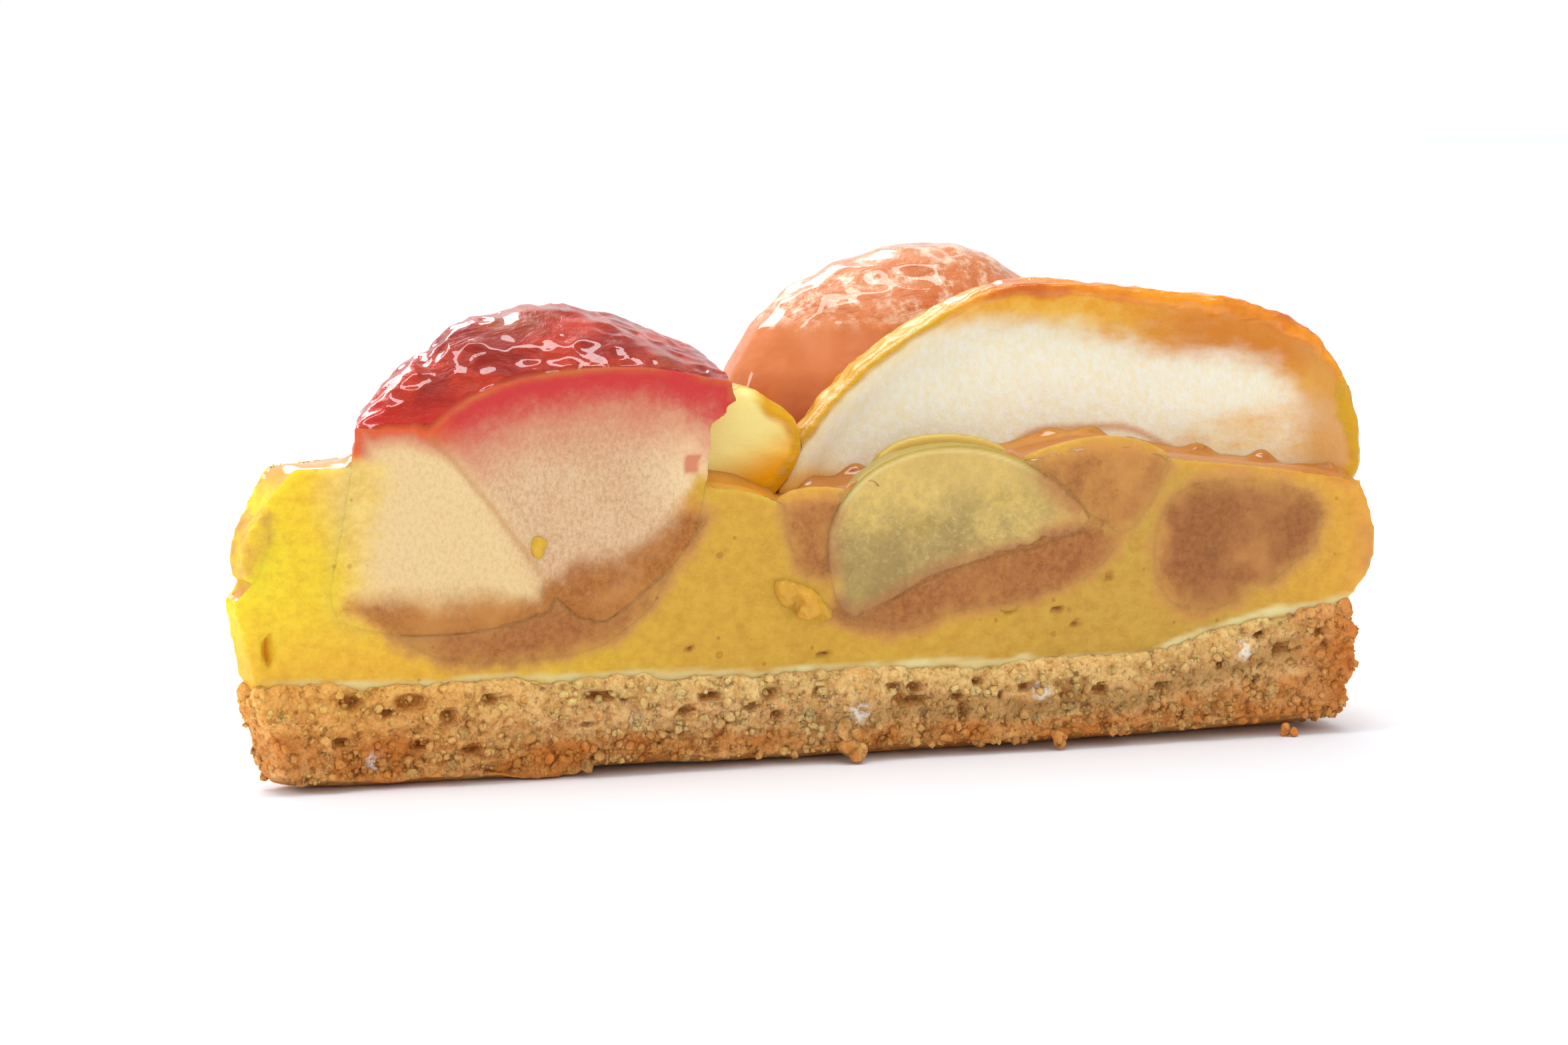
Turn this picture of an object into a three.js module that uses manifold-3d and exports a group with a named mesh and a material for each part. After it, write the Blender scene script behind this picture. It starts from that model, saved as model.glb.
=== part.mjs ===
import * as THREE from "three";
import { mergeVertices } from "three/addons/utils/BufferGeometryUtils.js";
import Module from "manifold-3d";

const wasm = await Module();
wasm.setup();

// One slice of a round fruit tart: a shortcrust base with a low rim, a baked custard filling, and pieces of
// apple that stand in the custard. Millimetres, +Z up. While the slice is built, x runs along the front cut
// from the tip to the rim and y into the slice. The last lines move it over the middle of its base.

// Driving dimensions
const SLICE_LENGTH = 130;
const SLICE_ANGLE = THREE.MathUtils.degToRad(30);
const TIP_CUT = 4; // the blunt tip stands this far from the middle of the whole tart
const GAP = 0.3; // clearance that touching pieces keep
const FLAT_ENOUGH = 0.04; // faces that differ by less than this are joined
const MIDDLE_X = 66.8;
const MIDDLE_Y = 33.6;

// Heights along the slice, as [distance from the tip, height]
const CRUST_TOP = [[0, 11.6], [19, 10.8], [44, 10.3], [80, 9.7], [104, 9.9], [111, 11.5], [120, 13.5], [130, 15]];
const CUSTARD_TOP = [
  [0, 34], [5, 35.2], [15, 35.2], [35, 33], [54, 31.5], [59, 30.6], [64, 28.6], [69, 30.4], [90, 33],
  [100, 34.4], [108, 32.6], [120, 31], [133, 28.6],
];
// How far the cut edge of the base is broken away above the table
const FRONT_CHIP = [[0, 2.6], [6, 1.6], [13, 0.3], [25, 0], [38, 0], [41, 1.5], [58, 1], [80, 1.2], [107, 1.4], [131, 2.7]];
const BACK_CHIP = [[0, 2.4], [10, 0.4], [34, 0], [60, 0.8], [72, 0], [98, 0.2], [112, 1.3], [131, 1.8]];
const CHIP_DEPTH = 5;
const RIM_CHIP = 2;
// The two ends of the slice, as [height, distance from the tip]
const TIP_EDGE = [
  [0, 5.2], [3, 5.1], [6, 4.8], [9, 3.8], [13.5, 2.4], [18.6, 1.3], [21, 0.8], [23.5, 3.4], [25.2, 2.1],
  [27, 2.3], [32, 5.4], [35.2, 8.5],
];
const RIM_EDGE = [
  [0, 129.2], [3, 129.9], [8, 130], [12.5, 130.1], [14.6, 129.2], [16, 130.2], [19, 132.2], [23, 132.6],
  [26, 132], [29, 130.7], [32, 128.8],
];

// Outlines on the front cut, as [distance from the tip, height]
const RED_WEDGE = [
  [22.1, 37.9], [24.5, 39.9], [27.2, 41.6], [30.8, 43], [35.7, 43.9], [41.8, 44.4], [47.9, 44.1], [52.5, 43.2],
  [57.6, 42], [55.8, 39.8], [53.6, 36.5], [53.1, 33], [52.6, 29], [50.6, 24.4], [46.4, 20.6], [40.5, 16.9],
  [36.2, 20.1], [31, 27.2], [26.4, 32.8],
];
const PALE_WEDGE_AT_TIP = [
  [14.4, 39], [18, 38.4], [22.1, 38], [24.6, 35.4], [28.8, 30.4], [33.8, 23.4], [36.4, 19.4], [31.8, 17.6],
  [26.5, 16.7], [19.6, 16.7], [13.6, 17.8], [11.2, 19.4], [12, 26], [13, 31.4], [13.7, 35.6],
];
const STEWED_AT_TIP = [
  [12, 20], [16, 16.9], [19.5, 14.4], [23.5, 12.7], [28.5, 12], [34, 12], [39, 12.7], [43.4, 14.5], [47, 17.2],
  [49.4, 20.6], [52.4, 24.6], [54.4, 28.4], [48, 30], [34, 26], [20, 23],
];
const CHUNK_IN_TIP = [
  [1.7, 25.2], [2.6, 22.9], [4.4, 22.4], [6, 24.6], [7.2, 27.6], [7.5, 30.4], [6.2, 31.8], [4.6, 31], [2.6, 28.4],
];
const SMALL_WEDGE = [[54.4, 29], [54.2, 35.6], [56.2, 39.6], [59.6, 41.2], [62.4, 39.6], [65.2, 37.7], [66.2, 35], [65, 32], [62.4, 29]];
const GOLDEN_SLICE = [
  [64.4, 26.4], [63.3, 29], [64.3, 32.7], [67.7, 36.8], [72.1, 41], [77.9, 45.1], [83.7, 48.3], [89.5, 50.6],
  [94.5, 51.4], [104.6, 50.5], [112, 49.6], [121.7, 48.1], [126.8, 46], [130.8, 42.6], [132.8, 38.6], [133.6, 33.6],
  [133.4, 29], [131.4, 26.4], [97, 26.2],
];
const GREEN_SLICE = [
  [67.1, 24], [67.6, 27], [69.4, 30], [72.2, 32.4], [75.8, 34], [80.2, 34.7], [84.8, 34.4], [89.4, 32.9],
  [94, 30.1], [97.2, 27], [97.9, 25.2], [93.2, 23.7], [87.6, 22.5], [80.4, 20.7], [75.7, 18.6], [71.1, 16.4],
  [69.2, 16.1], [67.9, 18.6],
];
const THIN_SLICE = [[73.4, 32], [75, 34.1], [77, 35], [80.6, 35.5], [85, 35.2], [88.8, 33.9], [91, 31], [88, 28.6], [77, 28.6]];
const STEWED_BESIDE_GREEN = [[61.4, 29.6], [61.7, 24.4], [63.8, 20.9], [67.6, 19.6], [71, 22], [72, 29], [67, 30.6]];
const STEWED_UNDER_GREEN = [
  [66.4, 17], [68, 15], [71.4, 13.5], [76, 13.3], [82.2, 14.9], [89.6, 16], [95.2, 17.4], [99, 19.4],
  [102, 23], [97, 26.4], [85, 26], [72, 22],
];
const STEWED_RIDGE = [
  [88, 31.6], [91, 33.3], [95.4, 34.5], [100.6, 35], [106, 33.6], [108.4, 31.4], [105.8, 26.8], [103.4, 23.8],
  [99, 23.4], [92, 27],
];
const STEWED_AT_RIM = [
  [105.6, 26.4], [104.7, 22], [105.3, 17.8], [108, 14.5], [112.4, 13.7], [116.4, 15.2], [121, 17.2],
  [124.4, 19.8], [126.9, 23.2], [126.2, 27.4], [121.4, 29.9], [114.6, 30.6], [109, 29.8],
];
const STEWED_ON_BACK_INNER = [[66, 22], [68.6, 17.2], [75, 15.2], [83, 15.8], [89, 18.6], [90, 22.6], [84.6, 26], [75, 26.8], [69, 25.4]];
const STEWED_ON_BACK_OUTER = [[101, 21.6], [104, 17], [111, 15.6], [118, 18.2], [121.4, 22], [118.6, 26], [111, 27.6], [104, 26]];

// The skin of the red wedge rises by this much halfway between the two cuts, as [distance from the tip, rise]
const RED_CREST = [
  [12.5, 0], [14, 0.5], [17.2, 4.6], [20, 7.4], [22.5, 9.1], [25, 8.6], [28, 7.7], [35, 6.5], [40, 5.8],
  [46, 4.8], [50.4, 3.9], [55, 2.9], [58, 2.2],
];
// Its left end slants by this much for each millimetre inwards, and its right end is this much further left on the back cut
const LEFT_SLANT = 0.325;
const RIGHT_RETREAT = 6;

// The half apple at the back: where its middle is, how far it is turned and how far it reaches
const ROSY_HALF = {
  middle: [90, 32.5, 30],
  turn: THREE.MathUtils.degToRad(12),
  left: 28,
  right: 19,
  side: 13,
  up: 24.3,
  down: 6.5,
  squareness: 2.2,
};

const smooth = (share) => {
  const t = THREE.MathUtils.clamp(share, 0, 1);
  return t * t * (3 - 2 * t);
};

// A smooth curve through stations, read at x
function along(stations, x) {
  const last = stations.length - 1;
  if (x <= stations[0][0]) return stations[0][1];
  if (x >= stations[last][0]) return stations[last][1];
  const i = stations.findIndex(([at]) => at > x) - 1;
  const width = stations[i + 1][0] - stations[i][0];
  const slope = (k) => {
    const [before, after] = [stations[Math.max(k - 1, 0)], stations[Math.min(k + 1, last)]];
    return ((after[1] - before[1]) / (after[0] - before[0])) * width;
  };
  const t = (x - stations[i][0]) / width;
  const bend = t * t * (3 - 2 * t);
  const leave = t * (1 - t) * (1 - t) * slope(i);
  const arrive = t * t * (1 - t) * slope(i + 1);
  return THREE.MathUtils.lerp(stations[i][1], stations[i + 1][1], bend) + leave - arrive;
}

// Smooth noise from -1 to 1 whose lumps are about size across
function lumps(point, size, seed) {
  const corner = (i, j, k) => {
    const wave = Math.sin(i * 127.1 + j * 311.7 + k * 74.7 + seed * 19.3) * 43758.5453;
    return wave - Math.floor(wave);
  };
  const [x, y, z] = point.toArray().map((value) => value / size);
  const [i, j, k] = [x, y, z].map(Math.floor);
  const [u, v, w] = [x - i, y - j, z - k].map(smooth);
  const row = (dj, dk) => THREE.MathUtils.lerp(corner(i, j + dj, k + dk), corner(i + 1, j + dj, k + dk), u);
  const layer = (dk) => THREE.MathUtils.lerp(row(0, dk), row(1, dk), v);
  return THREE.MathUtils.lerp(layer(0), layer(1), w) * 2 - 1;
}

// Moves every vertex of a geometry to where place puts it
function shaped(geometry, place) {
  const position = geometry.getAttribute("position");
  for (let i = 0; i < position.count; i += 1) {
    const moved = place(new THREE.Vector3().fromBufferAttribute(position, i));
    position.setXYZ(i, ...moved.toArray());
  }
  return geometry;
}

// A closed geometry as a solid for joining and cutting
function solidOf(geometry) {
  const bare = geometry.clone();
  bare.deleteAttribute("normal");
  bare.deleteAttribute("uv");
  const merged = mergeVertices(bare, 1e-4);
  return new wasm.Manifold(new wasm.Mesh({
    numProp: 3,
    vertProperties: merged.getAttribute("position").array,
    triVerts: new Uint32Array(merged.index.array),
  }));
}

function meshOf(name, solid, material) {
  const made = solid.getMesh();
  const geometry = new THREE.BufferGeometry();
  geometry.setAttribute("position", new THREE.BufferAttribute(made.vertProperties, 3));
  geometry.setIndex(new THREE.BufferAttribute(made.triVerts, 1));
  geometry.computeVertexNormals();
  const mesh = new THREE.Mesh(geometry, material);
  mesh.name = name;
  return mesh;
}

// The biggest of the bodies that a cut leaves
const biggest = (solid) => solid.decompose().reduce((a, b) => (b.volume() > a.volume() ? b : a));

// The wedge, as blocks whose corners are placed by shares of the way to the rim, to the back cut and up
const ACROSS = [0, 0.03, 0.1, 0.24, 0.42, 0.58, 0.76, 0.9, 0.97, 1];

function wedgeBlock(lengthwise, upwards, place) {
  const crosswise = ACROSS.length - 1;
  const box = new THREE.BoxGeometry(1, 1, 1, lengthwise, crosswise, upwards);
  return solidOf(shaped(box, (corner) => {
    const outward = Math.round((corner.x + 0.5) * lengthwise) / lengthwise;
    const inward = ACROSS[Math.round((corner.y + 0.5) * crosswise)];
    const upward = Math.round((corner.z + 0.5) * upwards) / upwards;
    return place(outward, inward, upward);
  }));
}

// A point at a share of the way from tip to rim and from front to back cut, between two heights
function wedgePoint(outward, inward, upward, bottomAt, topAt) {
  const flatReach = outward * SLICE_LENGTH;
  const z = THREE.MathUtils.lerp(bottomAt(flatReach), topAt(flatReach), upward);
  const reach = THREE.MathUtils.lerp(along(TIP_EDGE, z), along(RIM_EDGE, z), outward);
  const height = THREE.MathUtils.lerp(bottomAt(reach), topAt(reach), upward);
  const angle = inward * SLICE_ANGLE;
  const radius = reach + TIP_CUT;
  return {
    point: new THREE.Vector3(radius * Math.cos(angle) - TIP_CUT, radius * Math.sin(angle), height),
    toFront: radius * Math.sin(angle),
    toBack: radius * Math.sin(SLICE_ANGLE - angle),
    reach,
  };
}

// The way out of the block at a point on its faces
function wayOut(outward, inward, upward) {
  const angle = inward * SLICE_ANGLE;
  const radial = new THREE.Vector3(Math.cos(angle), Math.sin(angle), 0);
  const out = new THREE.Vector3();
  if (inward === 0) out.y -= 1;
  if (inward === 1) out.add(new THREE.Vector3(-Math.sin(SLICE_ANGLE), Math.cos(SLICE_ANGLE), 0));
  if (outward === 1) out.add(radial);
  if (outward === 0) out.sub(radial);
  if (upward === 1) out.z += 0.5;
  return out;
}

const crustTop = (reach) => along(CRUST_TOP, reach);
const custardTop = (reach) => along(CUSTARD_TOP, reach);
const backCutAt = (x) => (x + TIP_CUT) * Math.tan(SLICE_ANGLE);

// Shortcrust base: crumbly where it is cut, browned below and at the rim, with its lower cut edges broken away
const CRAG = 0.6;

function crust() {
  const base = wedgeBlock(60, 6, (outward, inward, upward) => {
    const at = wedgePoint(outward, inward, upward, () => 0, crustTop);
    const brokenFront = along(FRONT_CHIP, at.reach) * (1 - smooth(at.toFront / CHIP_DEPTH));
    const brokenBack = along(BACK_CHIP, at.reach) * (1 - smooth(at.toBack / CHIP_DEPTH));
    const brokenRim = RIM_CHIP * smooth(1 - (SLICE_LENGTH - at.reach) / CHIP_DEPTH);
    at.point.z += Math.max(brokenFront, brokenBack, brokenRim) * (1 - upward);
    const crag = 0.5 * lumps(at.point, 2.6, 1) + 0.5 * lumps(at.point, 5.5, 2);
    const out = wayOut(outward, inward, upward);
    out.z = 0;
    return at.point.add(out.multiplyScalar(CRAG * crag));
  });
  return base.simplify(FLAT_ENOUGH);
}

// Baked custard: smooth cut faces, a gently uneven glazed top with soft edges, and a bulge over the rim. A few
// clumps of it, as [x, y, z, radius], stand out of the front cut
const CLUMPS = [[62.8, 0.2, 19, 1.5], [65, 0.1, 17.9, 1.6], [66.6, 0.2, 17, 1.1]];

function clump([x, y, z, radius], seed) {
  const ball = new THREE.IcosahedronGeometry(radius, 1);
  return solidOf(shaped(ball, (p) => {
    const rough = 1 + 0.22 * lumps(p, radius * 0.7, seed);
    return new THREE.Vector3(p.x * 1.25, p.y * 0.8, p.z * 0.9).multiplyScalar(rough).add(new THREE.Vector3(x, y, z));
  }));
}

function custardBlock() {
  const block = wedgeBlock(34, 5, (outward, inward, upward) => {
    const at = wedgePoint(outward, inward, upward, (reach) => crustTop(reach) + GAP, custardTop);
    const nearCut = Math.min(at.toFront, at.toBack);
    if (upward === 1) at.point.z += 0.4 * lumps(at.point, 9, 3) - 0.5 * (1 - smooth(nearCut / 3));
    const swell = 0.16 * lumps(at.point, 7, 4);
    const out = wayOut(outward, inward, upward);
    out.z = 0;
    return at.point.add(out.multiplyScalar(swell));
  });
  return wasm.Manifold.union([block, ...CLUMPS.map(clump)]);
}

// A closed outline as evenly spaced points, moved outwards by grow
function outlineOf(stations, count, grow) {
  const line = new THREE.CatmullRomCurve3(stations.map(([x, z]) => new THREE.Vector3(x, z, 0)), true, "centripetal");
  const points = line.getSpacedPoints(count).slice(0, count).map((p) => new THREE.Vector2(p.x, p.y));
  if (THREE.ShapeUtils.isClockWise(points)) points.reverse();
  return points.map((point, i) => {
    const run = points[(i + 1) % count].clone().sub(points[(i - 1 + count) % count]).normalize();
    return point.clone().add(new THREE.Vector2(run.y, -run.x).multiplyScalar(grow));
  });
}

// A solid from an outline and its sections, from the back one to the front one. A section places a point of the outline
function loft(outline, sections) {
  const geometry = new THREE.ExtrudeGeometry(new THREE.Shape(outline), {
    depth: sections.length - 1,
    steps: sections.length - 1,
    bevelEnabled: false,
  });
  return solidOf(shaped(geometry, (p) => sections[Math.round(p.z)](p.x, p.y)));
}

// A socket stands this far out of the cuts, so that it opens them
const OPENING = 2;

// An apple piece that runs through the slice from the front cut to the back cut
function throughPiece(stations, count, grow, place) {
  const steps = 8;
  const sections = Array.from({ length: steps + 1 }, (_, k) => (x, z) => place(x, z, 1 - k / steps));
  if (grow > 0) {
    const past = new THREE.Vector3(0, OPENING, 0);
    sections.unshift((x, z) => place(x, z, 1).add(past));
    sections.push((x, z) => place(x, z, 0).sub(past));
  }
  return loft(outlineOf(stations, count, grow), sections);
}

// How a point of the red apple's outline moves with its share of the way to the back cut
function acrossRed(x, z, share) {
  const slant = LEFT_SLANT * share * backCutAt(x) * (1 - smooth((x - 20) / 30));
  const retreat = RIGHT_RETREAT * share * share * smooth((x - 38) / 18);
  const moved = x + slant - retreat;
  const rise = along(RED_CREST, x) * Math.sin(Math.PI * share) ** 0.8 * smooth((z - 28) / 9);
  return new THREE.Vector3(moved, share * backCutAt(moved), z + rise);
}

// How a point moves on a piece that keeps its distance from the middle of the whole tart
function acrossTip(x, z, share) {
  const angle = share * SLICE_ANGLE;
  return new THREE.Vector3((x + TIP_CUT) * Math.cos(angle) - TIP_CUT, (x + TIP_CUT) * Math.sin(angle), z);
}

// A piece cut open by the front cut, or by the back cut where side is -1, that rounds off inside the custard
function cutChunk(stations, count, depth, grow, side = 1) {
  const [middleX, middleZ] = [0, 1].map((i) => stations.reduce((sum, s) => sum + s[i], 0) / stations.length);
  const hub = new THREE.Vector3(-TIP_CUT, 0, 0);
  const up = new THREE.Vector3(0, 0, 1);
  const place = (share, inward) => (x, z) => {
    const keep = Math.sqrt(1 - (share * 0.94) ** 2);
    const placed = new THREE.Vector3(middleX + (x - middleX) * keep, side * inward, middleZ + (z - middleZ) * keep);
    return side > 0 ? placed : placed.sub(hub).applyAxisAngle(up, SLICE_ANGLE).add(hub);
  };
  const sections = [1, 0.86, 0.6, 0.3, 0].map((share) => place(share, share * (depth + grow)));
  if (grow > 0) sections.push(place(0, -OPENING));
  return loft(outlineOf(stations, count, grow), side > 0 ? sections : sections.reverse());
}

// An apple slice or wedge that stands in the custard. Its layers are [depth behind its face, size about its root]
function standingPiece(stations, count, root, faceAt, layers, grow) {
  const middle = layers[0][0] / 2;
  const sections = layers.map(([depth, size]) => (x, z) => {
    const wider = depth > middle ? grow : -grow;
    const height = root[1] + (z - root[1]) * size;
    return new THREE.Vector3(root[0] + (x - root[0]) * size, faceAt(height) + depth + wider, height);
  });
  return loft(outlineOf(stations, count, grow), sections);
}

// The wide golden slice leans back a little. Its flesh has shrunk, so that the skin stands proud as a lip
const goldenFace = (z) => 6 + 0.2 * (z - 28);
const GOLDEN_LAYERS = [[12, 0.82], [10, 0.91], [6.5, 0.97], [3, 1], [0.6, 1], [0, 0.985], [0.5, 0.93], [1.5, 0.86]];
const goldenSlice = (grow) => standingPiece(GOLDEN_SLICE, 44, [97, 24.5], goldenFace, GOLDEN_LAYERS, grow);

const smallFace = () => 6;
const SMALL_LAYERS = [[11, 0.7], [8, 0.92], [4, 1], [1, 1], [0, 0.94]];
const smallWedge = (grow) => standingPiece(SMALL_WEDGE, 22, [58, 29], smallFace, SMALL_LAYERS, grow);

const GREEN_LAYERS = [[3.1, 0.94], [2.3, 1], [0, 1]];
const greenSlice = (grow) => {
  const layers = grow > 0 ? [...GREEN_LAYERS, [-OPENING, 1]] : GREEN_LAYERS;
  return standingPiece(GREEN_SLICE, 34, [82, 25], () => 0, layers, grow);
};

const thinFace = () => 3.6;
const thinSlice = (grow) => standingPiece(THIN_SLICE, 22, [81, 30], thinFace, [[1.7, 0.97], [0.2, 1], [0, 0.97]], grow);

// The half apple at the back is a dome that is a little squarer than a ball
function rosyHalf(grow) {
  const { middle, turn, left, right, side, up, down, squareness } = ROSY_HALF;
  const ball = new THREE.SphereGeometry(1, 24, 14).rotateX(Math.PI / 2);
  return solidOf(shaped(ball, (p) => {
    const sum = p.toArray().reduce((total, value) => total + Math.abs(value) ** squareness, 0);
    const out = p.clone().multiplyScalar(sum ** (-1 / squareness));
    const dents = 0.25 * lumps(p, 0.35, 6);
    const reach = new THREE.Vector3(p.x < 0 ? left : right, side, p.z > 0 ? up : down).addScalar(grow + dents);
    return out.multiply(reach).applyAxisAngle(new THREE.Vector3(0, 0, 1), turn).add(new THREE.Vector3(...middle));
  }));
}

// Materials
const finish = (color, roughness) => new THREE.MeshStandardMaterial({ color, roughness, metalness: 0 });
const STEWED = finish("#c98f5a", 0.6);
const CREAM_FLESH = finish("#eadcb4", 0.45);

// Every apple piece, from the ones that keep their shape to the ones that give way to them
const APPLES = [
  ["apple_red", (grow) => throughPiece(RED_WEDGE, 30, grow, acrossRed), finish("#b3261e", 0.25)],
  ["apple_red_at_tip", (grow) => throughPiece(PALE_WEDGE_AT_TIP, 26, grow, acrossRed), CREAM_FLESH],
  ["apple_small", smallWedge, CREAM_FLESH],
  ["apple_golden", goldenSlice, finish("#e6c98a", 0.3)],
  ["apple_rosy", rosyHalf, finish("#cf7a48", 0.2)],
  ["apple_green", greenSlice, finish("#c3b468", 0.4)],
  ["apple_thin", thinSlice, CREAM_FLESH],
  ["apple_stewed_at_tip", (grow) => cutChunk(STEWED_AT_TIP, 26, 9, grow), STEWED],
  ["apple_stewed_beside_green", (grow) => cutChunk(STEWED_BESIDE_GREEN, 18, 4.8, grow), STEWED],
  ["apple_stewed_under_green", (grow) => cutChunk(STEWED_UNDER_GREEN, 24, 8, grow), STEWED],
  ["apple_stewed_ridge", (grow) => cutChunk(STEWED_RIDGE, 20, 5, grow), STEWED],
  ["apple_stewed_at_rim", (grow) => cutChunk(STEWED_AT_RIM, 24, 10, grow), STEWED],
  ["apple_stewed_back_inner", (grow) => cutChunk(STEWED_ON_BACK_INNER, 20, 8, grow, -1), STEWED],
  ["apple_stewed_back_outer", (grow) => cutChunk(STEWED_ON_BACK_OUTER, 20, 8, grow, -1), STEWED],
  ["apple_chunk_in_tip", (grow) => throughPiece(CHUNK_IN_TIP, 14, grow, acrossTip), STEWED],
];

// The slice: each apple piece gives way to the ones before it, and the custard to all of them
const slice = new THREE.Group();
const sockets = [];
for (const [name, make, material] of APPLES) {
  const piece = sockets.reduce((left, socket) => left.subtract(socket), make(0));
  slice.add(meshOf(name, biggest(piece).simplify(FLAT_ENOUGH), material));
  sockets.push(make(GAP));
}
const base = crust();
const filling = sockets.reduce((left, socket) => left.subtract(socket), custardBlock()).subtract(base);
slice.add(meshOf("custard", biggest(filling).simplify(FLAT_ENOUGH), finish("#dcb52c", 0.4)));
slice.add(meshOf("crust", base, finish("#b9803f", 0.9)));
slice.position.set(-MIDDLE_X, -MIDDLE_Y, 0);

export default slice;
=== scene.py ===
import itertools
import math

import bmesh
import bpy
import numpy as np
from mathutils import Matrix, Vector
from mathutils.bvhtree import BVHTree
from mathutils.kdtree import KDTree


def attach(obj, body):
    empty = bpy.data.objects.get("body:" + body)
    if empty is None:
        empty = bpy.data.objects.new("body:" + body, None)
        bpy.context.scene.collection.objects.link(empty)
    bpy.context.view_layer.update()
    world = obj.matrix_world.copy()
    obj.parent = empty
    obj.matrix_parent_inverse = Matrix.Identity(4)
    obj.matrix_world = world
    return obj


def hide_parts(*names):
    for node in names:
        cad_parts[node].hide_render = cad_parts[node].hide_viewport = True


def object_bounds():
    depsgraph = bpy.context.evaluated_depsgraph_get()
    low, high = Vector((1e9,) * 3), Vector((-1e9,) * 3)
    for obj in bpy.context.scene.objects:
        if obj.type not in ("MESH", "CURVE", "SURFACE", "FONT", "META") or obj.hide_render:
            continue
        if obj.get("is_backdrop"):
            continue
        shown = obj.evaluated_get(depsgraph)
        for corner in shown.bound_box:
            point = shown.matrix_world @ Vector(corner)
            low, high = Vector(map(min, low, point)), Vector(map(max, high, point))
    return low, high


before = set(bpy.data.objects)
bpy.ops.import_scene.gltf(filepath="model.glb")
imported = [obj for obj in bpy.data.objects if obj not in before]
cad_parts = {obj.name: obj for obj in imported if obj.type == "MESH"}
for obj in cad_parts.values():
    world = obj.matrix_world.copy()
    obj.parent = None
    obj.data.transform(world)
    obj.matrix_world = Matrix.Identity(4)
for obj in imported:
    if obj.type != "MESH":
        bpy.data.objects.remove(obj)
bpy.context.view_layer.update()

scene = bpy.context.scene

# Camera: a long lens a little over half a metre from the front cut, slightly above it and to its left. Places
# are in metres, in the frame
MM = 0.001
CAMERA_LENS = 120
CAMERA_SENSOR = 36
CAMERA_AZIMUTH = math.radians(-18)
CAMERA_ELEVATION = math.radians(8)
CAMERA_DISTANCE = 572 * MM
CAMERA_AIM = Vector((-4.8, -33.6, 27)) * MM


def added(name, data):
    """A new object in the scene."""
    made = bpy.data.objects.new(name, data)
    scene.collection.objects.link(made)
    return made


from_aim = Vector((
    math.sin(CAMERA_AZIMUTH) * math.cos(CAMERA_ELEVATION),
    -math.cos(CAMERA_AZIMUTH) * math.cos(CAMERA_ELEVATION),
    math.sin(CAMERA_ELEVATION),
))
lens = bpy.data.cameras.new("camera")
lens.lens = CAMERA_LENS
lens.sensor_width = CAMERA_SENSOR
lens.clip_start = 0.01
camera = added("camera", lens)
camera.location = CAMERA_AIM + from_aim * CAMERA_DISTANCE
camera.rotation_euler = (-from_aim).to_track_quat("-Z", "Y").to_euler()
scene.camera = camera

# Crust: a shortcrust base of sandy crumbs, baked in a tin. It has soaked up custard at its top and browned at
# its foot and its rim, and the knife has crumbled both cuts. Like every piece it is shaped on a copy of its
# solid, in the slice's own millimetres: x along the front cut from the tip, y behind that cut, z up
MIDDLE = Vector((66.8, 33.6, 0))
SLICE_ANGLE = math.radians(30)
TIP_CUT = 4
CUT_NORMAL = np.array([-math.sin(SLICE_ANGLE), math.cos(SLICE_ANGLE), 0])
GROW = 0.18
CUT_PROUD = 0.05
CRUST_FACE = 0.41
CRUST_TOP = [
    (0, 11.6), (19, 10.8), (44, 10.3), (80, 9.7), (104, 9.9), (111, 11.5), (120, 13.5), (130, 15),
]
FRONT_CHIP = [
    (0, 2.6), (6, 1.6), (13, 0.3), (25, 0), (38, 0), (41, 1.5), (58, 1), (80, 1.2), (107, 1.4), (131, 2.7),
]
THICK_BROWN_END = 39
RIM_START = 120
BIG_CRUMB = 2.9
SMALL_CRUMB = 1.3
FINE_CRUMB = 0.75
CRUMB_LEVEL = 0.82
CRUST_VOIDS = [
    (13.1, 1.3, 1.5, 0.9), (19.8, 1.4, 1.9, 0.9), (28.5, 1.3, 1.0, 0.6), (40.9, 1.4, 2.1, 0.7),
    (23.9, 2.9, 1.0, 0.7), (20.8, 6.2, 1.0, 0.6), (26.5, 6.8, 1.3, 0.55), (12.1, 5.7, 1.0, 0.6),
    (61.4, 4.3, 0.7, 0.6), (77, 1.8, 1.0, 0.6), (90, 2.2, 0.8, 0.5),
]
SUGAR_SPOTS = [(70.3, 5.5, 1.9), (91.9, 6.8, 1.4), (116.6, 10.3, 1.5), (16, 2.8, 1.6), (45, 6, 0.9)]


def smooth(share):
    share = np.clip(share, 0, 1)
    return share * share * (3 - 2 * share)


def rise(value, start, width):
    """0 up to start, 1 from start + width, and smooth between them."""
    return smooth((value - start) / width)


def fall(value, start, width):
    """1 up to start, 0 from start + width, and smooth between them."""
    return 1 - smooth((value - start) / width)


def along(stations, x):
    """The heights of a smooth line through a few stations."""
    at = np.array(stations, float)
    slopes = np.gradient(at[:, 1]) / np.gradient(at[:, 0])
    x = np.clip(x, at[0, 0], at[-1, 0])
    i = np.clip(np.searchsorted(at[:, 0], x) - 1, 0, len(at) - 2)
    width = at[i + 1, 0] - at[i, 0]
    t = (x - at[i, 0]) / width
    bend = smooth(t)
    leave = t * (1 - t) ** 2 * slopes[i] * width
    arrive = t**2 * (1 - t) * slopes[i + 1] * width
    return at[i, 1] * (1 - bend) + at[i + 1, 1] * bend + leave - arrive


def scatter(cells, seed):
    """A repeatable number from 0 to 1 for each cell."""
    wave = np.sin(cells @ np.array([127.1, 311.7, 74.7]) + seed * 19.3) * 43758.5453
    return wave - np.floor(wave)


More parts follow.
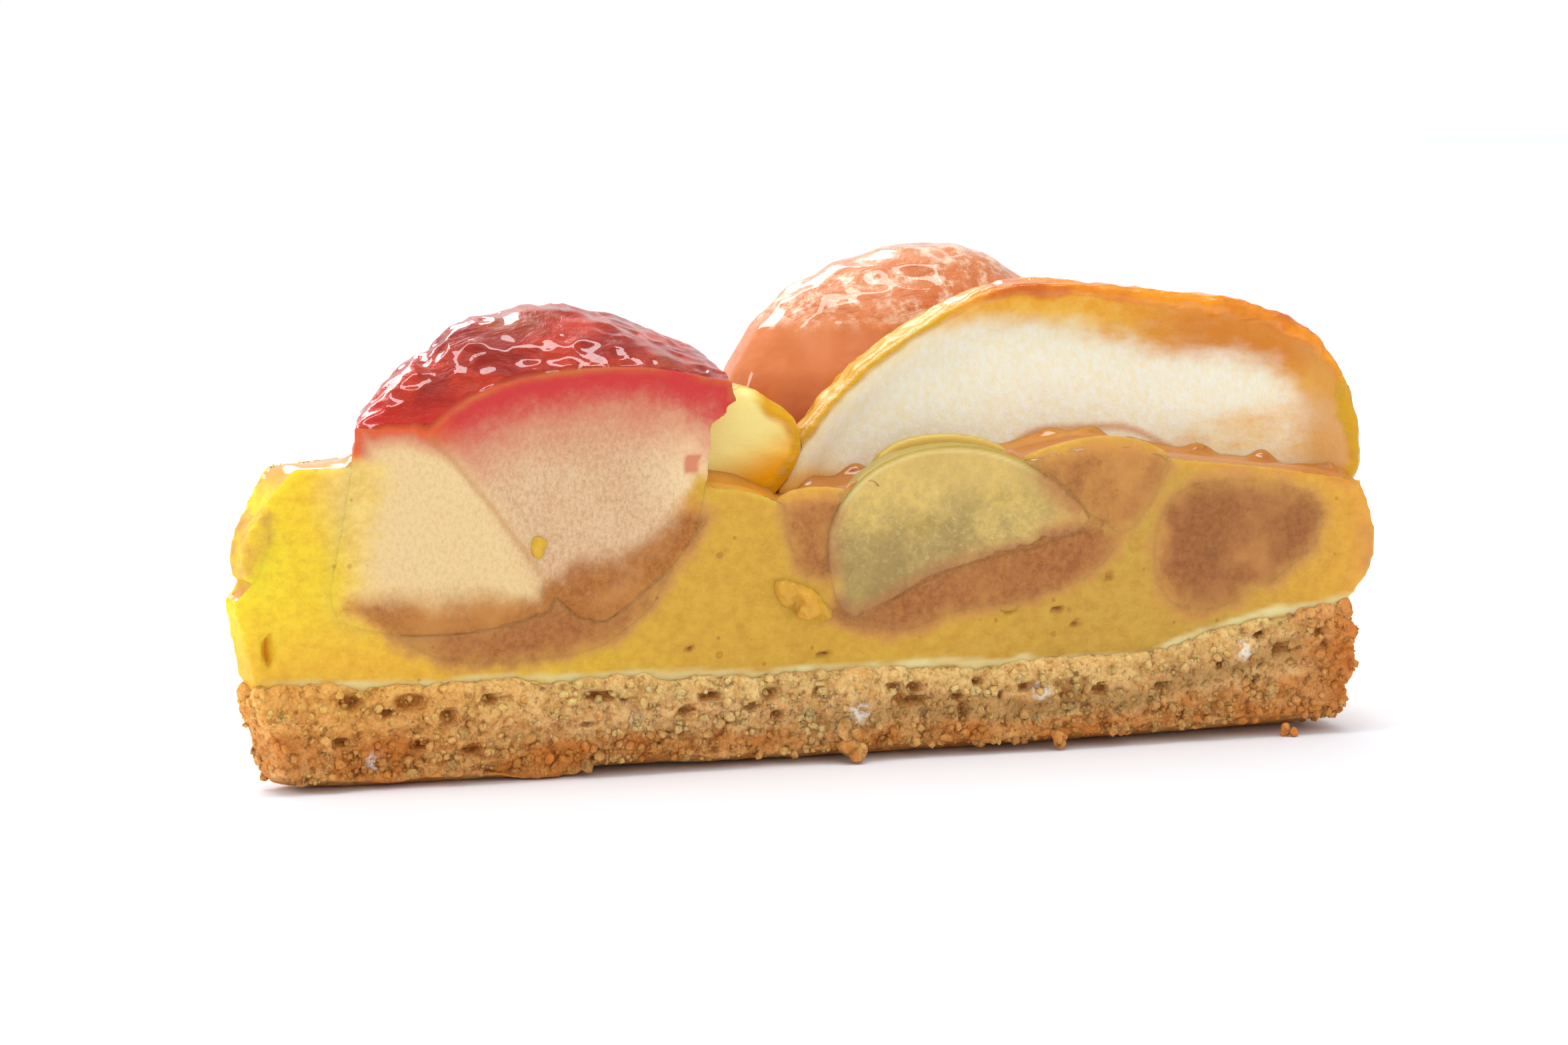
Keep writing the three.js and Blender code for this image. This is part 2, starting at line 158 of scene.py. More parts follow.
def lumps(points, size, seed):
    """Smooth noise from -1 to 1 whose lumps are about size across."""
    cell = np.floor(points / size)
    share = smooth(points / size - cell)
    total = np.zeros(len(points))
    for corner in itertools.product((0, 1), repeat=3):
        weight = np.prod(np.where(corner, share, 1 - share), axis=1)
        total += weight * scatter(cell + corner, seed)
    return total * 2 - 1


def crumbs(points, size, seed):
    """How far each point is up its round crumb, from 0 in the crease to 1, and that crumb's own number."""
    home = np.floor(points / size)
    nearest = np.full(len(points), 9.0)
    number = np.zeros(len(points))
    for step in itertools.product((-1, 0, 1), repeat=3):
        cell = home + step
        middle = cell + np.stack([scatter(cell, seed + k) for k in (1, 2, 3)], axis=1)
        distance = np.linalg.norm(points / size - middle, axis=1)
        closer = distance < nearest
        nearest[closer] = distance[closer]
        number[closer] = scatter(cell[closer], seed + 4)
    return np.sqrt(1 - np.minimum(nearest, 1) ** 2), number


def points_of(mesh):
    flat = np.empty(len(mesh.vertices) * 3, np.float32)
    mesh.vertices.foreach_get("co", flat)
    return flat.reshape(-1, 3).astype(float)


def normals_of(mesh):
    flat = np.empty(len(mesh.vertices) * 3, np.float32)
    mesh.vertex_normals.foreach_get("vector", flat)
    return flat.reshape(-1, 3).astype(float)


def put_points(mesh, points):
    mesh.vertices.foreach_set("co", points.astype(np.float32).ravel())
    mesh.update()


def mark(mesh, **numbers):
    """Keeps numbers for each vertex, which the materials read by their names."""
    for name, values in numbers.items():
        values = (np.zeros(len(mesh.vertices)) + values).astype(np.float32)
        mesh.attributes.new(name, "FLOAT", "POINT").data.foreach_set("value", values)


def closed(shell, name):
    """The mesh of a bmesh, which is freed."""
    mesh = bpy.data.meshes.new(name)
    shell.to_mesh(mesh)
    shell.free()
    return mesh


def refined(name, mesh, face, rounds):
    """The mesh with an even skin of small faces, its edges softened a little."""
    rough = added(name + "_rough", mesh)
    even = rough.modifiers.new("even", "REMESH")
    even.mode = "VOXEL"
    even.voxel_size = face
    soft = rough.modifiers.new("soft", "SMOOTH")
    soft.factor = 0.5
    soft.iterations = rounds
    fine = bpy.data.meshes.new_from_object(rough.evaluated_get(bpy.context.evaluated_depsgraph_get()))
    bpy.data.objects.remove(rough)
    fine.name = name
    return fine


def copied(*nodes, face, rounds=2, grow=GROW):
    """Copies of solids, grown and fused, in the slice's millimetres, with an even skin of small faces."""
    shell = bmesh.new()
    for source in nodes:
        shell.from_mesh(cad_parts[source].data)
    bmesh.ops.remove_doubles(shell, verts=shell.verts, dist=1e-6)
    bmesh.ops.scale(shell, vec=(1 / MM,) * 3, verts=shell.verts)
    bmesh.ops.translate(shell, vec=MIDDLE, verts=shell.verts)
    shell.normal_update()
    for vertex in shell.verts:
        vertex.co += vertex.normal * grow
    fine = refined(nodes[0], closed(shell, nodes[0] + "_solid"), face, rounds)
    if grow:
        put_points(fine, trimmed(points_of(fine), CUT_PROUD))
    return fine


def cut_distances(points):
    """How far points lie behind the front cut, before the back cut and along the back cut."""
    from_hub = points + (TIP_CUT, 0, 0)
    before_back = -(from_hub @ CUT_NORMAL)
    along_back = from_hub[:, 0] * math.cos(SLICE_ANGLE) + from_hub[:, 1] * math.sin(SLICE_ANGLE) - TIP_CUT
    return points[:, 1], before_back, along_back


def inside_cuts(points):
    """How far points lie inside the nearer cut."""
    return np.minimum(*cut_distances(points)[:2])


def trimmed(points, proud):
    """The points, with those that stand out of the cuts by more than proud moved back to there."""
    behind_front, before_back, _ = cut_distances(points)
    kept = points.copy()
    kept[:, 1] += np.maximum(-proud - behind_front, 0)
    return kept - np.maximum(-proud - before_back, 0)[:, None] * CUT_NORMAL


def reach_of(points):
    """How far points lie from the cut-off tip."""
    return np.hypot(points[:, 0] + TIP_CUT, points[:, 1]) - TIP_CUT


def paint(code):
    """A hex colour as the linear one that Blender reckons in."""
    parts = [int(code[i:i + 2], 16) / 255 for i in (1, 3, 5)]
    return (*[p / 12.92 if p <= 0.04045 else ((p + 0.055) / 1.055) ** 2.4 for p in parts], 1)


def node(tree, kind, sockets=None, **settings):
    """Adds a shader node. Its sockets take values, colours or other nodes' outputs."""
    made = tree.nodes.new(kind)
    for name, value in settings.items():
        setattr(made, name, value)
    for socket, value in (sockets or {}).items():
        if isinstance(value, bpy.types.NodeSocket):
            tree.links.new(value, made.inputs[socket])
        else:
            made.inputs[socket].default_value = value
    return made


def tree_of(*values):
    """The tree that the first node output among these values belongs to."""
    return next(value.id_data for value in values if isinstance(value, bpy.types.NodeSocket))


def mixed(share, under, over, way="MIX"):
    """Two colours, outputs or hex colours, mixed by a share."""
    under, over = (paint(color) if isinstance(color, str) else color for color in (under, over))
    tree, sockets = tree_of(share, under, over), {0: share, 6: under, 7: over}
    return node(tree, "ShaderNodeMix", sockets, data_type="RGBA", blend_type=way).outputs[2]


def layered(color, *layers):
    """A colour with others laid over it in turn, each by its share."""
    for share, over in layers:
        color = mixed(share, color, over)
    return color


def maths(operation, first, second=0.0, third=0.0, clamp=False):
    tree, sockets = tree_of(first, second, third), {0: first, 1: second, 2: third}
    return node(tree, "ShaderNodeMath", sockets, operation=operation, use_clamp=clamp).outputs[0]


def times(first, second):
    return maths("MULTIPLY", first, second)


def scaled(value, factor, added, clamp=False):
    return maths("MULTIPLY_ADD", value, factor, added, clamp)


def between(value, low, high):
    """0 below low, 1 above high, and smooth between them."""
    tree, sockets = value.id_data, {0: value, 1: low, 2: high}
    return node(tree, "ShaderNodeMapRange", sockets, interpolation_type="SMOOTHSTEP").outputs[0]


def marked(tree, name):
    return node(tree, "ShaderNodeAttribute", attribute_name=name).outputs["Fac"]


def grain(tree, size, detail=3.0, stretch=(1, 1, 1), rough=0.55, seed=0.0):
    """Noise from 0 to 1 with patches of about size in millimetres."""
    place = node(tree, "ShaderNodeTexCoord").outputs["Object"]
    place = node(tree, "ShaderNodeMapping", {"Vector": place, "Location": (seed,) * 3, "Scale": stretch})
    return node(tree, "ShaderNodeTexNoise", {
        "Vector": place.outputs[0], "Scale": 0.5 / (size * MM), "Detail": detail, "Roughness": rough,
    }).outputs["Fac"]


def group(name, inputs, outputs):
    """An empty node group with named inputs and outputs, and the nodes at its two ends."""
    tree = bpy.data.node_groups.new(name, "ShaderNodeTree")
    for label, value in inputs.items():
        tree.interface.new_socket(label, in_out="INPUT", socket_type="NodeSocketFloat").default_value = value
    for label, kind in outputs.items():
        tree.interface.new_socket(label, in_out="OUTPUT", socket_type="NodeSocket" + kind)
    return tree, tree.nodes.new("NodeGroupInput").outputs, tree.nodes.new("NodeGroupOutput")


def given_out(out, **results):
    """Links a node group's results to the node at its end, and returns the group's tree."""
    for socket, value in results.items():
        out.id_data.links.new(value, out.inputs[socket])
    return out.id_data


def placed(tree, shared, sockets):
    """A shared group placed in a material."""
    return node(tree, "ShaderNodeGroup", sockets, node_tree=shared).outputs


def material(name, specular, softness=None, **settings):
    """A material and its Principled shader. Softness is the share, the reach in millimetres and the radii of
    the light that goes under the surface."""
    made = bpy.data.materials.new(name)
    made.use_nodes = True
    shader = made.node_tree.nodes["Principled BSDF"]
    settings["Specular_IOR_Level"] = specular
    if softness:
        share, reach, radii = softness
        settings.update(Subsurface_Weight=share, Subsurface_Scale=reach * MM, Subsurface_Radius=radii)
    for socket, value in settings.items():
        shader.inputs[socket.replace("_", " ")].default_value = value
    return made, made.node_tree, shader


def wire(shader, color, roughness, height, depth, coat=None):
    """Links a colour, a roughness, a relief in millimetres and a share of wet coat to a shader."""
    tree = shader.id_data
    bump = node(tree, "ShaderNodeBump", {"Height": height, "Distance": depth * MM, "Strength": 1.0})
    tree.links.new(color, shader.inputs["Base Color"])
    tree.links.new(roughness, shader.inputs["Roughness"])
    tree.links.new(bump.outputs[0], shader.inputs["Normal"])
    if coat is not None:
        tree.links.new(coat, shader.inputs["Coat Weight"])


def finished(name, mesh, look, slot, *nodes):
    """Makes a piece of a mesh, at its place in the frame, and hides the solids it was copied from."""
    mesh.transform(Matrix.Scale(MM, 4) @ Matrix.Translation(-MIDDLE))
    mesh.materials.clear()
    mesh.materials.append(look)
    mesh.shade_smooth()
    piece = added(name, mesh)
    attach(piece, "root")
    if nodes:
        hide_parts(*nodes)


def crust_marks(mesh, points):
    """Where the crust is soaked at its top, damp below that, warm in tone to the tip, and browned."""
    reach = reach_of(points)
    over_top = points[:, 2] - along(CRUST_TOP, reach)
    height = points[:, 2] - along(FRONT_CHIP, reach) * fall(inside_cuts(points), 0, 5)
    uneven = 0.9 * lumps(points, 6, 31) + 0.5 * lumps(points, 2.2, 32)
    thick_foot = 1.7 + 2.6 * fall(reach - THICK_BROWN_END, -2, 4) + 1.4 * rise(reach, 100, 25)
    foot = fall(height + uneven, thick_foot, 1.8)
    rim = rise(reach + 2.2 * uneven, RIM_START, 6)
    from_damp = np.abs(over_top + 4.4 + 0.7 * uneven)
    mark(
        mesh,
        browned=np.maximum(foot, rim),
        soaked=rise(over_top + 3.1 + 0.8 * uneven, 0, 1.6) * (1 - 0.8 * rim),
        warm=fall(reach - 12 - 2 * uneven, 0, 30),
        damp=0.6 * fall(from_damp, 0.7, 1.3) * rise(reach, 55, 25) * (1 - rim),
    )


crust_mesh = copied("crust", face=CRUST_FACE, rounds=1, grow=0)
points = points_of(crust_mesh)
x, y, z = points.T
normals = normals_of(crust_mesh)
big, _ = crumbs(points, BIG_CRUMB, 11)
small, _ = crumbs(points, SMALL_CRUMB, 21)
fine, _ = crumbs(points, FINE_CRUMB, 25)
relief = 1.2 * (big - CRUMB_LEVEL) + 0.9 * (small - CRUMB_LEVEL) + 0.4 * (fine - CRUMB_LEVEL)
relief = relief + 0.4 * lumps(points, 5, 12)
on_foot = smooth(-normals[:, 2] * 2 - 1)
nearest_cut = inside_cuts(points)
near_top = rise(z - along(CRUST_TOP, reach_of(points)), -4.6, 1.2)
below_lip = rise(along(CRUST_TOP, reach_of(points)) - z, 0.9, 0.6)
# Voids and cracks below the crust's top are dug in, and the same mask paints them darker: painted shade in
# the hollows
voids = rise(lumps(points * (0.62, 0.62, 0.9), 1.5, 41), 0.58, 0.2) * near_top * below_lip
cracks = rise(lumps(points * (0.7, 0.7, 1), 2.0, 42), 0.72, 0.2)
hollow = np.maximum(voids, 0.6 * cracks) * (1 - on_foot)
below_top = along(CRUST_TOP, x) - z
for void_x, below, half_width, half_height in CRUST_VOIDS:
    away = np.hypot((x - void_x) / half_width, (below_top - below) / half_height)
    hollow = np.maximum(hollow, 1.1 * fall(away, 0.5, 0.8) * (y < 1.5))
at_seam = 0.6 * near_top * fall(nearest_cut, 0, 1.5)
moved = points + normals * ((relief + at_seam - 1.5 * hollow) * (1 - 0.85 * on_foot))[:, None]
near_cut = fall(nearest_cut, 0, 3)
ragged = (0.5 + 0.5 * lumps(points, 3.6, 43)) * fall(z, 0, 4.5)
moved[:, 2] += 1.1 * ragged * near_cut
moved[:, 2] = np.maximum(moved[:, 2], 0)
put_points(crust_mesh, moved)
crust_marks(crust_mesh, points)
# Creases between crumbs add a little to that mask: painted shade in the creases
creases = 0.9 * rise(0.78 - big, 0, 0.25) + 0.7 * rise(0.74 - small, 0, 0.3)
mark(crust_mesh, hollow=np.clip(0.8 * hollow + 0.12 * creases, 0, 1))
sugared = np.zeros(len(points))
for spot_x, spot_z, size in SUGAR_SPOTS:
    away = np.hypot(x - spot_x, z - spot_z) / size
    sugared = np.maximum(sugared, fall(away, 0.4, 0.6) * (y < 2.5))
mark(crust_mesh, sugared=sugared)

SANDY = "#e6a652"
SANDY_DARK = "#bf7a34"
SANDY_PALE = "#ffd799"
SOAKED = "#fbd088"
SOAKED_DARK = "#ca8e3c"
BROWNED = "#d8802f"
BROWNED_DARK = "#a5581a"
BROWNED_PALE = "#f4b46a"
# Painted shade for voids, cracks, creases and pits
HOLLOW_SHADE = "#b4661c"
DAMP = "#b68544"
WARM = "#ffe9c0"
SUGAR = "#fbf4ea"


def crumb_texture():
    """The grain of a crumb: rounded bits of about a size, each with its own tone, and creases between."""
    tree, given, out = group("crumb_texture", {"Size": 1.0}, {"Height": "Float", "Tone": "Float"})
    place = node(tree, "ShaderNodeTexCoord").outputs["Object"]
    scale = maths("DIVIDE", 1 / MM, given["Size"])
    wander = node(tree, "ShaderNodeTexNoise", {"Vector": place, "Scale": times(scale, 1.4)}).outputs["Color"]
    shift = node(tree, "ShaderNodeVectorMath", {0: wander, "Scale": 0.25 * MM}, operation="SCALE").outputs[0]
    shifted = node(tree, "ShaderNodeVectorMath", {0: place, 1: shift}, operation="ADD").outputs[0]
    bits = node(tree, "ShaderNodeTexVoronoi", {"Vector": shifted, "Scale": scale}).outputs
    height = maths("SUBTRACT", 1.0, times(bits["Distance"], bits["Distance"]), clamp=True)
    tone = node(tree, "ShaderNodeSeparateColor", {0: bits["Color"]}).outputs[0]
    return given_out(out, Height=height, Tone=tone)


crumb_group = crumb_texture()


def crust_look(name, tone):
    """Shortcrust. The tone is a share from dark to pale, made from nodes of the same material."""
    made, tree, shader = material(name, 0.3, (0.5, 1.6, (1.0, 0.5, 0.2)))
    coarse = placed(tree, crumb_group, {"Size": 1.0})
    bits = placed(tree, crumb_group, {"Size": 0.42})
    shaded_pits = between(grain(tree, 0.5, 5, rough=0.7, seed=3.1), 0.44, 0.34)
    sand = grain(tree, 0.22, 3, rough=0.7)
    # The share from dark to pale: a random tone for each crumb, with painted shade in the creases where crumb
    # height is low
    shade = scaled(coarse["Tone"], 0.45, scaled(tone(tree), 0.7, -0.1))
    shade = maths("SUBTRACT", scaled(bits["Height"], 0.4, shade), 0.3)
    shade = scaled(coarse["Height"], 0.35, shade, clamp=True)
    # Voids, creases and pits take the hollow colour: painted shade
    hollow = maths("MAXIMUM", marked(tree, "hollow"), times(shaded_pits, 0.5))
    sugar = times(marked(tree, "sugared"), between(grain(tree, 0.5, 4, seed=0.7), 0.4, 0.55))
    patch = between(grain(tree, 3, 2, seed=0.3), 0.35, 0.65)
    brown = layered(mixed(shade, BROWNED_DARK, BROWNED_PALE), (patch, BROWNED))
    color = layered(
        mixed(shade, SANDY_DARK, SANDY_PALE),
        (0.3, SANDY),
        (marked(tree, "soaked"), mixed(shade, SOAKED_DARK, SOAKED)),
        (marked(tree, "damp"), DAMP),
    )
    color = layered(
        mixed(marked(tree, "warm"), color, WARM, "MULTIPLY"),
        (times(marked(tree, "browned"), 0.92), brown),
        (times(hollow, 0.85), HOLLOW_SHADE),
        (times(sugar, 0.9), SUGAR),
    )
    height = scaled(bits["Height"], 0.4, scaled(shaded_pits, -0.6, times(coarse["Height"], 0.5)))
    wire(shader, color, scaled(sand, -0.35, 0.9), scaled(sand, 0.35, height), 0.5)
    return made


crust_finish = crust_look("shortcrust", lambda tree: grain(tree, 1.5, 3, rough=0.65, seed=0.1))
finished("shortcrust", crust_mesh, crust_finish, "crust", "crust")

# Loose crumbs: bits of the same shortcrust that cling to its cuts, its foot and its rim, and a few bigger
# lumps at the front foot, one of which hangs off it. They are scattered over the crust's own skin
CRUMB_COUNT = 4600
CRUMB_SIZES = (0.15, 0.68)
CRUMB_BAND = 0.9
RIM_BAND_START = 127
HANGING = [
    (68.8, -0.8, 3.6, 1.15), (69.6, -1.0, 3.0, 1.1), (69.2, -1.4, 2.0, 1.25), (69.9, -1.5, 1.3, 1.15),
    (94, -0.6, 1.4, 0.8), (94.4, -0.9, 0.8, 0.7), (121.6, -0.6, 0.7, 0.7), (122.4, -1.1, 0.5, 0.5),
]
chance = np.random.default_rng(7)


def crumb_shape(subdivisions, seed):
    """A lumpy crumb about 1 across its radius."""
    shell = bmesh.new()
    bmesh.ops.create_icosphere(shell, subdivisions=subdivisions, radius=1)
    rough = np.array([v.co for v in shell.verts])
    for vertex, size in zip(shell.verts, 1 + 0.42 * lumps(rough, 0.75, seed)):
        vertex.co *= size
    return closed(shell, "crumb_shape")


CRUMB_SHAPES = [crumb_shape(1, seed) for seed in range(6)]
LUMP_SHAPES = [crumb_shape(3, seed) for seed in range(5)]


def add_crumb(shell, shape, place, radius):
    """One crumb, turned and squashed its own way, added to a mesh of crumbs."""
    turn = Matrix.Rotation(chance.uniform(0, math.tau), 4, chance.normal(size=3))
    squash = Matrix.Diagonal((*chance.uniform(0.7, 1.25, 3) * radius, 1))
    crumb = shape.copy()
    crumb.transform(Matrix.Translation(place) @ turn @ squash)
    shell.from_mesh(crumb)
    bpy.data.meshes.remove(crumb)


loose = bmesh.new()
stays = (nearest_cut < CRUMB_BAND) | (reach_of(points) > RIM_BAND_START)
low = fall(z, 1, 9)
weights = stays * (0.6 + low) * (z > 0.6) * (normals[:, 2] < 0.6)
for i in chance.choice(len(points), CRUMB_COUNT, replace=False, p=weights / weights.sum()):
    radius = CRUMB_SIZES[0] + (CRUMB_SIZES[1] - CRUMB_SIZES[0]) * chance.random() ** 2.4
    place = moved[i] + normals[i] * radius * 0.35
    place[2] = max(place[2], radius)
    add_crumb(loose, CRUMB_SHAPES[i % len(CRUMB_SHAPES)], place, radius)
for k, (*spot, height, radius) in enumerate(HANGING):
    add_crumb(loose, LUMP_SHAPES[k % len(LUMP_SHAPES)], (*spot, max(height, radius * 0.9)), radius)
loose_mesh = closed(loose, "loose_crumbs")
points = points_of(loose_mesh)
crust_marks(loose_mesh, points)
_, number = crumbs(points, 1.6, 51)
mark(loose_mesh, hollow=0, sugared=0, tone=number)
crumb_finish = crust_look("loose_shortcrust", lambda tree: marked(tree, "tone"))
finished("loose_crumbs", loose_mesh, crumb_finish, "crust")

# Stewed apple: soft brown pieces that cooked through in the custard, cut flush with it. Their edges have bled
# into the custard, so one shared finish covers both, and the stain is worked out from the pieces' outlines
STEWED_FRONT = {
    "stewed_at_tip": [
        (12, 20), (16, 16.9), (19.5, 14.4), (23.5, 12.7), (28.5, 12), (34, 12), (39, 12.7), (43.4, 14.5),
        (47, 17.2), (49.4, 20.6), (52.4, 24.6), (54.4, 28.4), (48, 30), (34, 26), (20, 23),
    ],
    "stewed_beside_green": [
        (61.4, 29.6), (61.7, 24.4), (63.8, 20.9), (67.6, 19.6), (71, 22), (72, 29), (67, 30.6),
    ],
    "stewed_under_green": [
        (66.4, 17), (68, 15), (71.4, 13.5), (76, 13.3), (82.2, 14.9), (89.6, 16), (95.2, 17.4), (99, 19.4),
        (102, 23), (97, 26.4), (85, 26), (72, 22),
    ],
    "stewed_ridge": [
        (88, 31.6), (91, 33.3), (95.4, 34.5), (100.6, 35), (106, 33.6), (108.4, 31.4), (105.8, 26.8),
        (103.4, 23.8), (99, 23.4), (92, 27),
    ],
    "stewed_at_rim": [
        (105.6, 26.4), (104.7, 22), (105.3, 17.8), (108, 14.5), (112.4, 13.7), (116.4, 15.2), (121, 17.2),
        (124.4, 19.8), (126.9, 23.2), (126.2, 27.4), (121.4, 29.9), (114.6, 30.6), (109, 29.8),
    ],
    "chunk_in_tip": [
        (-1, 24.6), (0.5, 22.4), (3, 22), (4.6, 24.4), (5.6, 27.4), (5.6, 30), (4, 31.6), (1.5, 31),
        (-0.5, 28),
    ],
}
STEWED_BACK = {
    "stewed_back_inner": [
        (66, 22), (68.6, 17.2), (75, 15.2), (83, 15.8), (89, 18.6), (90, 22.6), (84.6, 26), (75, 26.8),
        (69, 25.4),
    ],
    "stewed_back_outer": [
        (101, 21.6), (104, 17), (111, 15.6), (118, 18.2), (121.4, 22), (118.6, 26), (111, 27.6), (104, 26),
    ],
    "chunk_in_tip": STEWED_FRONT["chunk_in_tip"],
}
STEWED_SOFTNESS = {
    "chunk_in_tip": 2.2, "stewed_beside_green": 2.8, "stewed_at_rim": 3.4, "stewed_at_tip": 3.0,
}
STEWED_STRENGTH = {"chunk_in_tip": 0.34, "stewed_beside_green": 0.85, "stewed_ridge": 0.7}
STEWED_FACE = 0.42


def rounded(stations, steps=6):
    """The points of a smooth closed line through a few stations."""
    here = np.array(stations, float)
    before, after, beyond = np.roll(here, 1, 0), np.roll(here, -1, 0), np.roll(here, -2, 0)
    t = (np.arange(steps) / steps)[:, None, None]
    line = (
        2 * here + (after - before) * t + (2 * before - 5 * here + 4 * after - beyond) * t**2
        + (3 * here - before - 3 * after + beyond) * t**3
    ) / 2
    return line.transpose(1, 0, 2).reshape(-1, 2)


def depth_inside(line, x, z):
    """How deep points lie inside a closed line, below 0 outside it."""
    nearest = np.full(len(x), 1e9)
    inside = np.zeros(len(x), bool)
    for (ax, az), (bx, bz) in zip(line, np.roll(line, -1, 0)):
        run = np.array([bx - ax, bz - az])
        share = np.clip(((x - ax) * run[0] + (z - az) * run[1]) / (run @ run), 0, 1)
        nearest = np.minimum(nearest, np.hypot(x - ax - share * run[0], z - az - share * run[1]))
        if az != bz:
            crosses = (az > z) != (bz > z)
            inside ^= crosses & (x < ax + (z - az) * (bx - ax) / (bz - az))
    return np.where(inside, nearest, -nearest)


def stain(points):
    """How stewed the cut faces are at each point, from 0 in custard to 1 in the middle of a piece."""
    x, y, z = points.T
    _, before_back, along_back = cut_distances(points)
    most = np.zeros(len(points))
    for across, depth, lines in ((x, y, STEWED_FRONT), (along_back, before_back, STEWED_BACK)):
        near = fall(depth, 0.6, 2)
        for name, stations in lines.items():
            inside = depth_inside(rounded(stations), across, z)
            soft = STEWED_SOFTNESS.get(name, 2.6)
            share = rise(inside + soft * 0.6, 0, soft * 1.7) * STEWED_STRENGTH.get(name, 1.0)
            most = np.maximum(most, near * share)
    return most


# The tip and left yellows are partly the custard's own colour, partly a painted glow of light from behind
# shining through the thin tip
CUSTARD_TIP_GLOW = "#ffe326"
CUSTARD_LEFT_GLOW = "#ffd431"
CUSTARD_MIDDLE = "#e4b43e"
CUSTARD_RIGHT = "#dbae45"
CUSTARD_AT_RIM = "#efb43c"
CUSTARD_SEAM = "#fbe7a6"
CUSTARD_LOW = "#fabb3c"
CUSTARD_SHADE = "#dfc594"
CUSTARD_MOTTLE = "#fff7cf"
CUSTARD_MILKY = "#fbdd94"
CUSTARD_BAKED = "#f2a824"
CUSTARD_BROWNED = "#cf8626"
SYRUP = "#c9771f"
STEWED_EDGE = "#dd9a4c"
STEWED_PALE = "#d2904a"
STEWED_MIDDLE = "#b4682a"
STEWED_DARK = "#8c4c1e"
FILLING_INPUTS = ("Stewed", "Seam", "Baked", "Syrup")
FILLING_OUTPUTS = {"Color": "Color", "Height": "Float", "Stewed": "Float"}
PORES_PER_METRE = 560.0


def baked_filling():
    """The shared finish of custard and stewed apple: a painted glow at the tip, duller to the rim, stained.
    """
    tree, given, out = group("baked_filling", dict.fromkeys(FILLING_INPUTS, 0.0), FILLING_OUTPUTS)
    place = node(tree, "ShaderNodeTexCoord").outputs["Object"]
    x, y, z = node(tree, "ShaderNodeSeparateXYZ", {0: place}).outputs
    x = maths("ADD", x, scaled(grain(tree, 14, 2), 0.016, -0.008))
    low = times(between(z, 0.022, 0.012), between(x, -0.028, -0.046))
    beside_flesh = times(between(x, -0.0575, -0.0515), between(x, -0.040, -0.045))
    on_cut = times(between(y, -0.0305, -0.0325), between(z, 0.0155, 0.022))
    # Brighter toward the tip: partly painted glow
    custard = layered(
        mixed(between(x, -0.066, -0.050), CUSTARD_TIP_GLOW, CUSTARD_LEFT_GLOW),
        (between(x, -0.046, -0.012), CUSTARD_MIDDLE),
        (between(x, 0.005, 0.035), CUSTARD_RIGHT),
        (between(x, 0.046, 0.064), CUSTARD_AT_RIM),
        (times(low, 0.7), CUSTARD_LOW),
        (times(times(beside_flesh, on_cut), 0.7), CUSTARD_MILKY),
    )
    streaks = grain(tree, 0.6, 6, stretch=(0.85, 1, 1.1), rough=0.75, seed=2.2)
    custard = mixed(scaled(streaks, 2.0, -0.8, clamp=True), custard, CUSTARD_SHADE, "MULTIPLY")
    mottle = scaled(grain(tree, 3.5, 4, rough=0.6), 0.5, -0.1, clamp=True)
    custard = mixed(mottle, custard, CUSTARD_MOTTLE, "MULTIPLY")
    fibre = grain(tree, 0.4, 5, rough=0.8, seed=0.2)
    stew = layered(
        mixed(between(fibre, 0.3, 0.7), STEWED_DARK, STEWED_PALE),
        (0.45, STEWED_MIDDLE),
        (times(between(x, 0.034, 0.046), 0.35), STEWED_DARK),
        (between(grain(tree, 4.5, 3, seed=0.5), 0.45, 0.75), STEWED_PALE),
    )
    ragged = scaled(grain(tree, 2.2, 6, rough=0.72, seed=0.9), 1.3, -0.65)
    stewed = maths("ADD", given["Stewed"], times(ragged, between(given["Stewed"], 0.0, 0.2)))
    core = between(stewed, 0.3, 0.98)
    baked = between(grain(tree, 5, 4, rough=0.65, seed=1.9), 0.4, 0.7)
    baked = layered(mixed(baked, CUSTARD_BAKED, CUSTARD_BROWNED), (given["Syrup"], SYRUP))
    pores = node(tree, "ShaderNodeTexVoronoi", {"Vector": place, "Scale": PORES_PER_METRE}).outputs
    kind, size, _ = node(tree, "ShaderNodeSeparateColor", {0: pores["Color"]}).outputs
    # Pores are painted darker brown inside: painted shade in the pits
    shaded_pits = between(maths("SUBTRACT", pores["Distance"], scaled(size, 0.16, 0.03)), 0.0, 0.1)
    shaded_pits = maths("MAXIMUM", shaded_pits, between(kind, 0.2, 0.24))
    color = layered(
        custard,
        (given["Baked"], baked),
        (times(between(stewed, 0.08, 0.55), 0.8), STEWED_EDGE),
        (times(core, 0.97), stew),
        (given["Seam"], CUSTARD_SEAM),
        (scaled(shaded_pits, -0.4, 0.4), STEWED_MIDDLE),
    )
    height = scaled(fibre, 1.3, scaled(streaks, 0.8, shaded_pits))
    return given_out(out, Color=color, Height=height, Stewed=core)


filling_group = baked_filling()


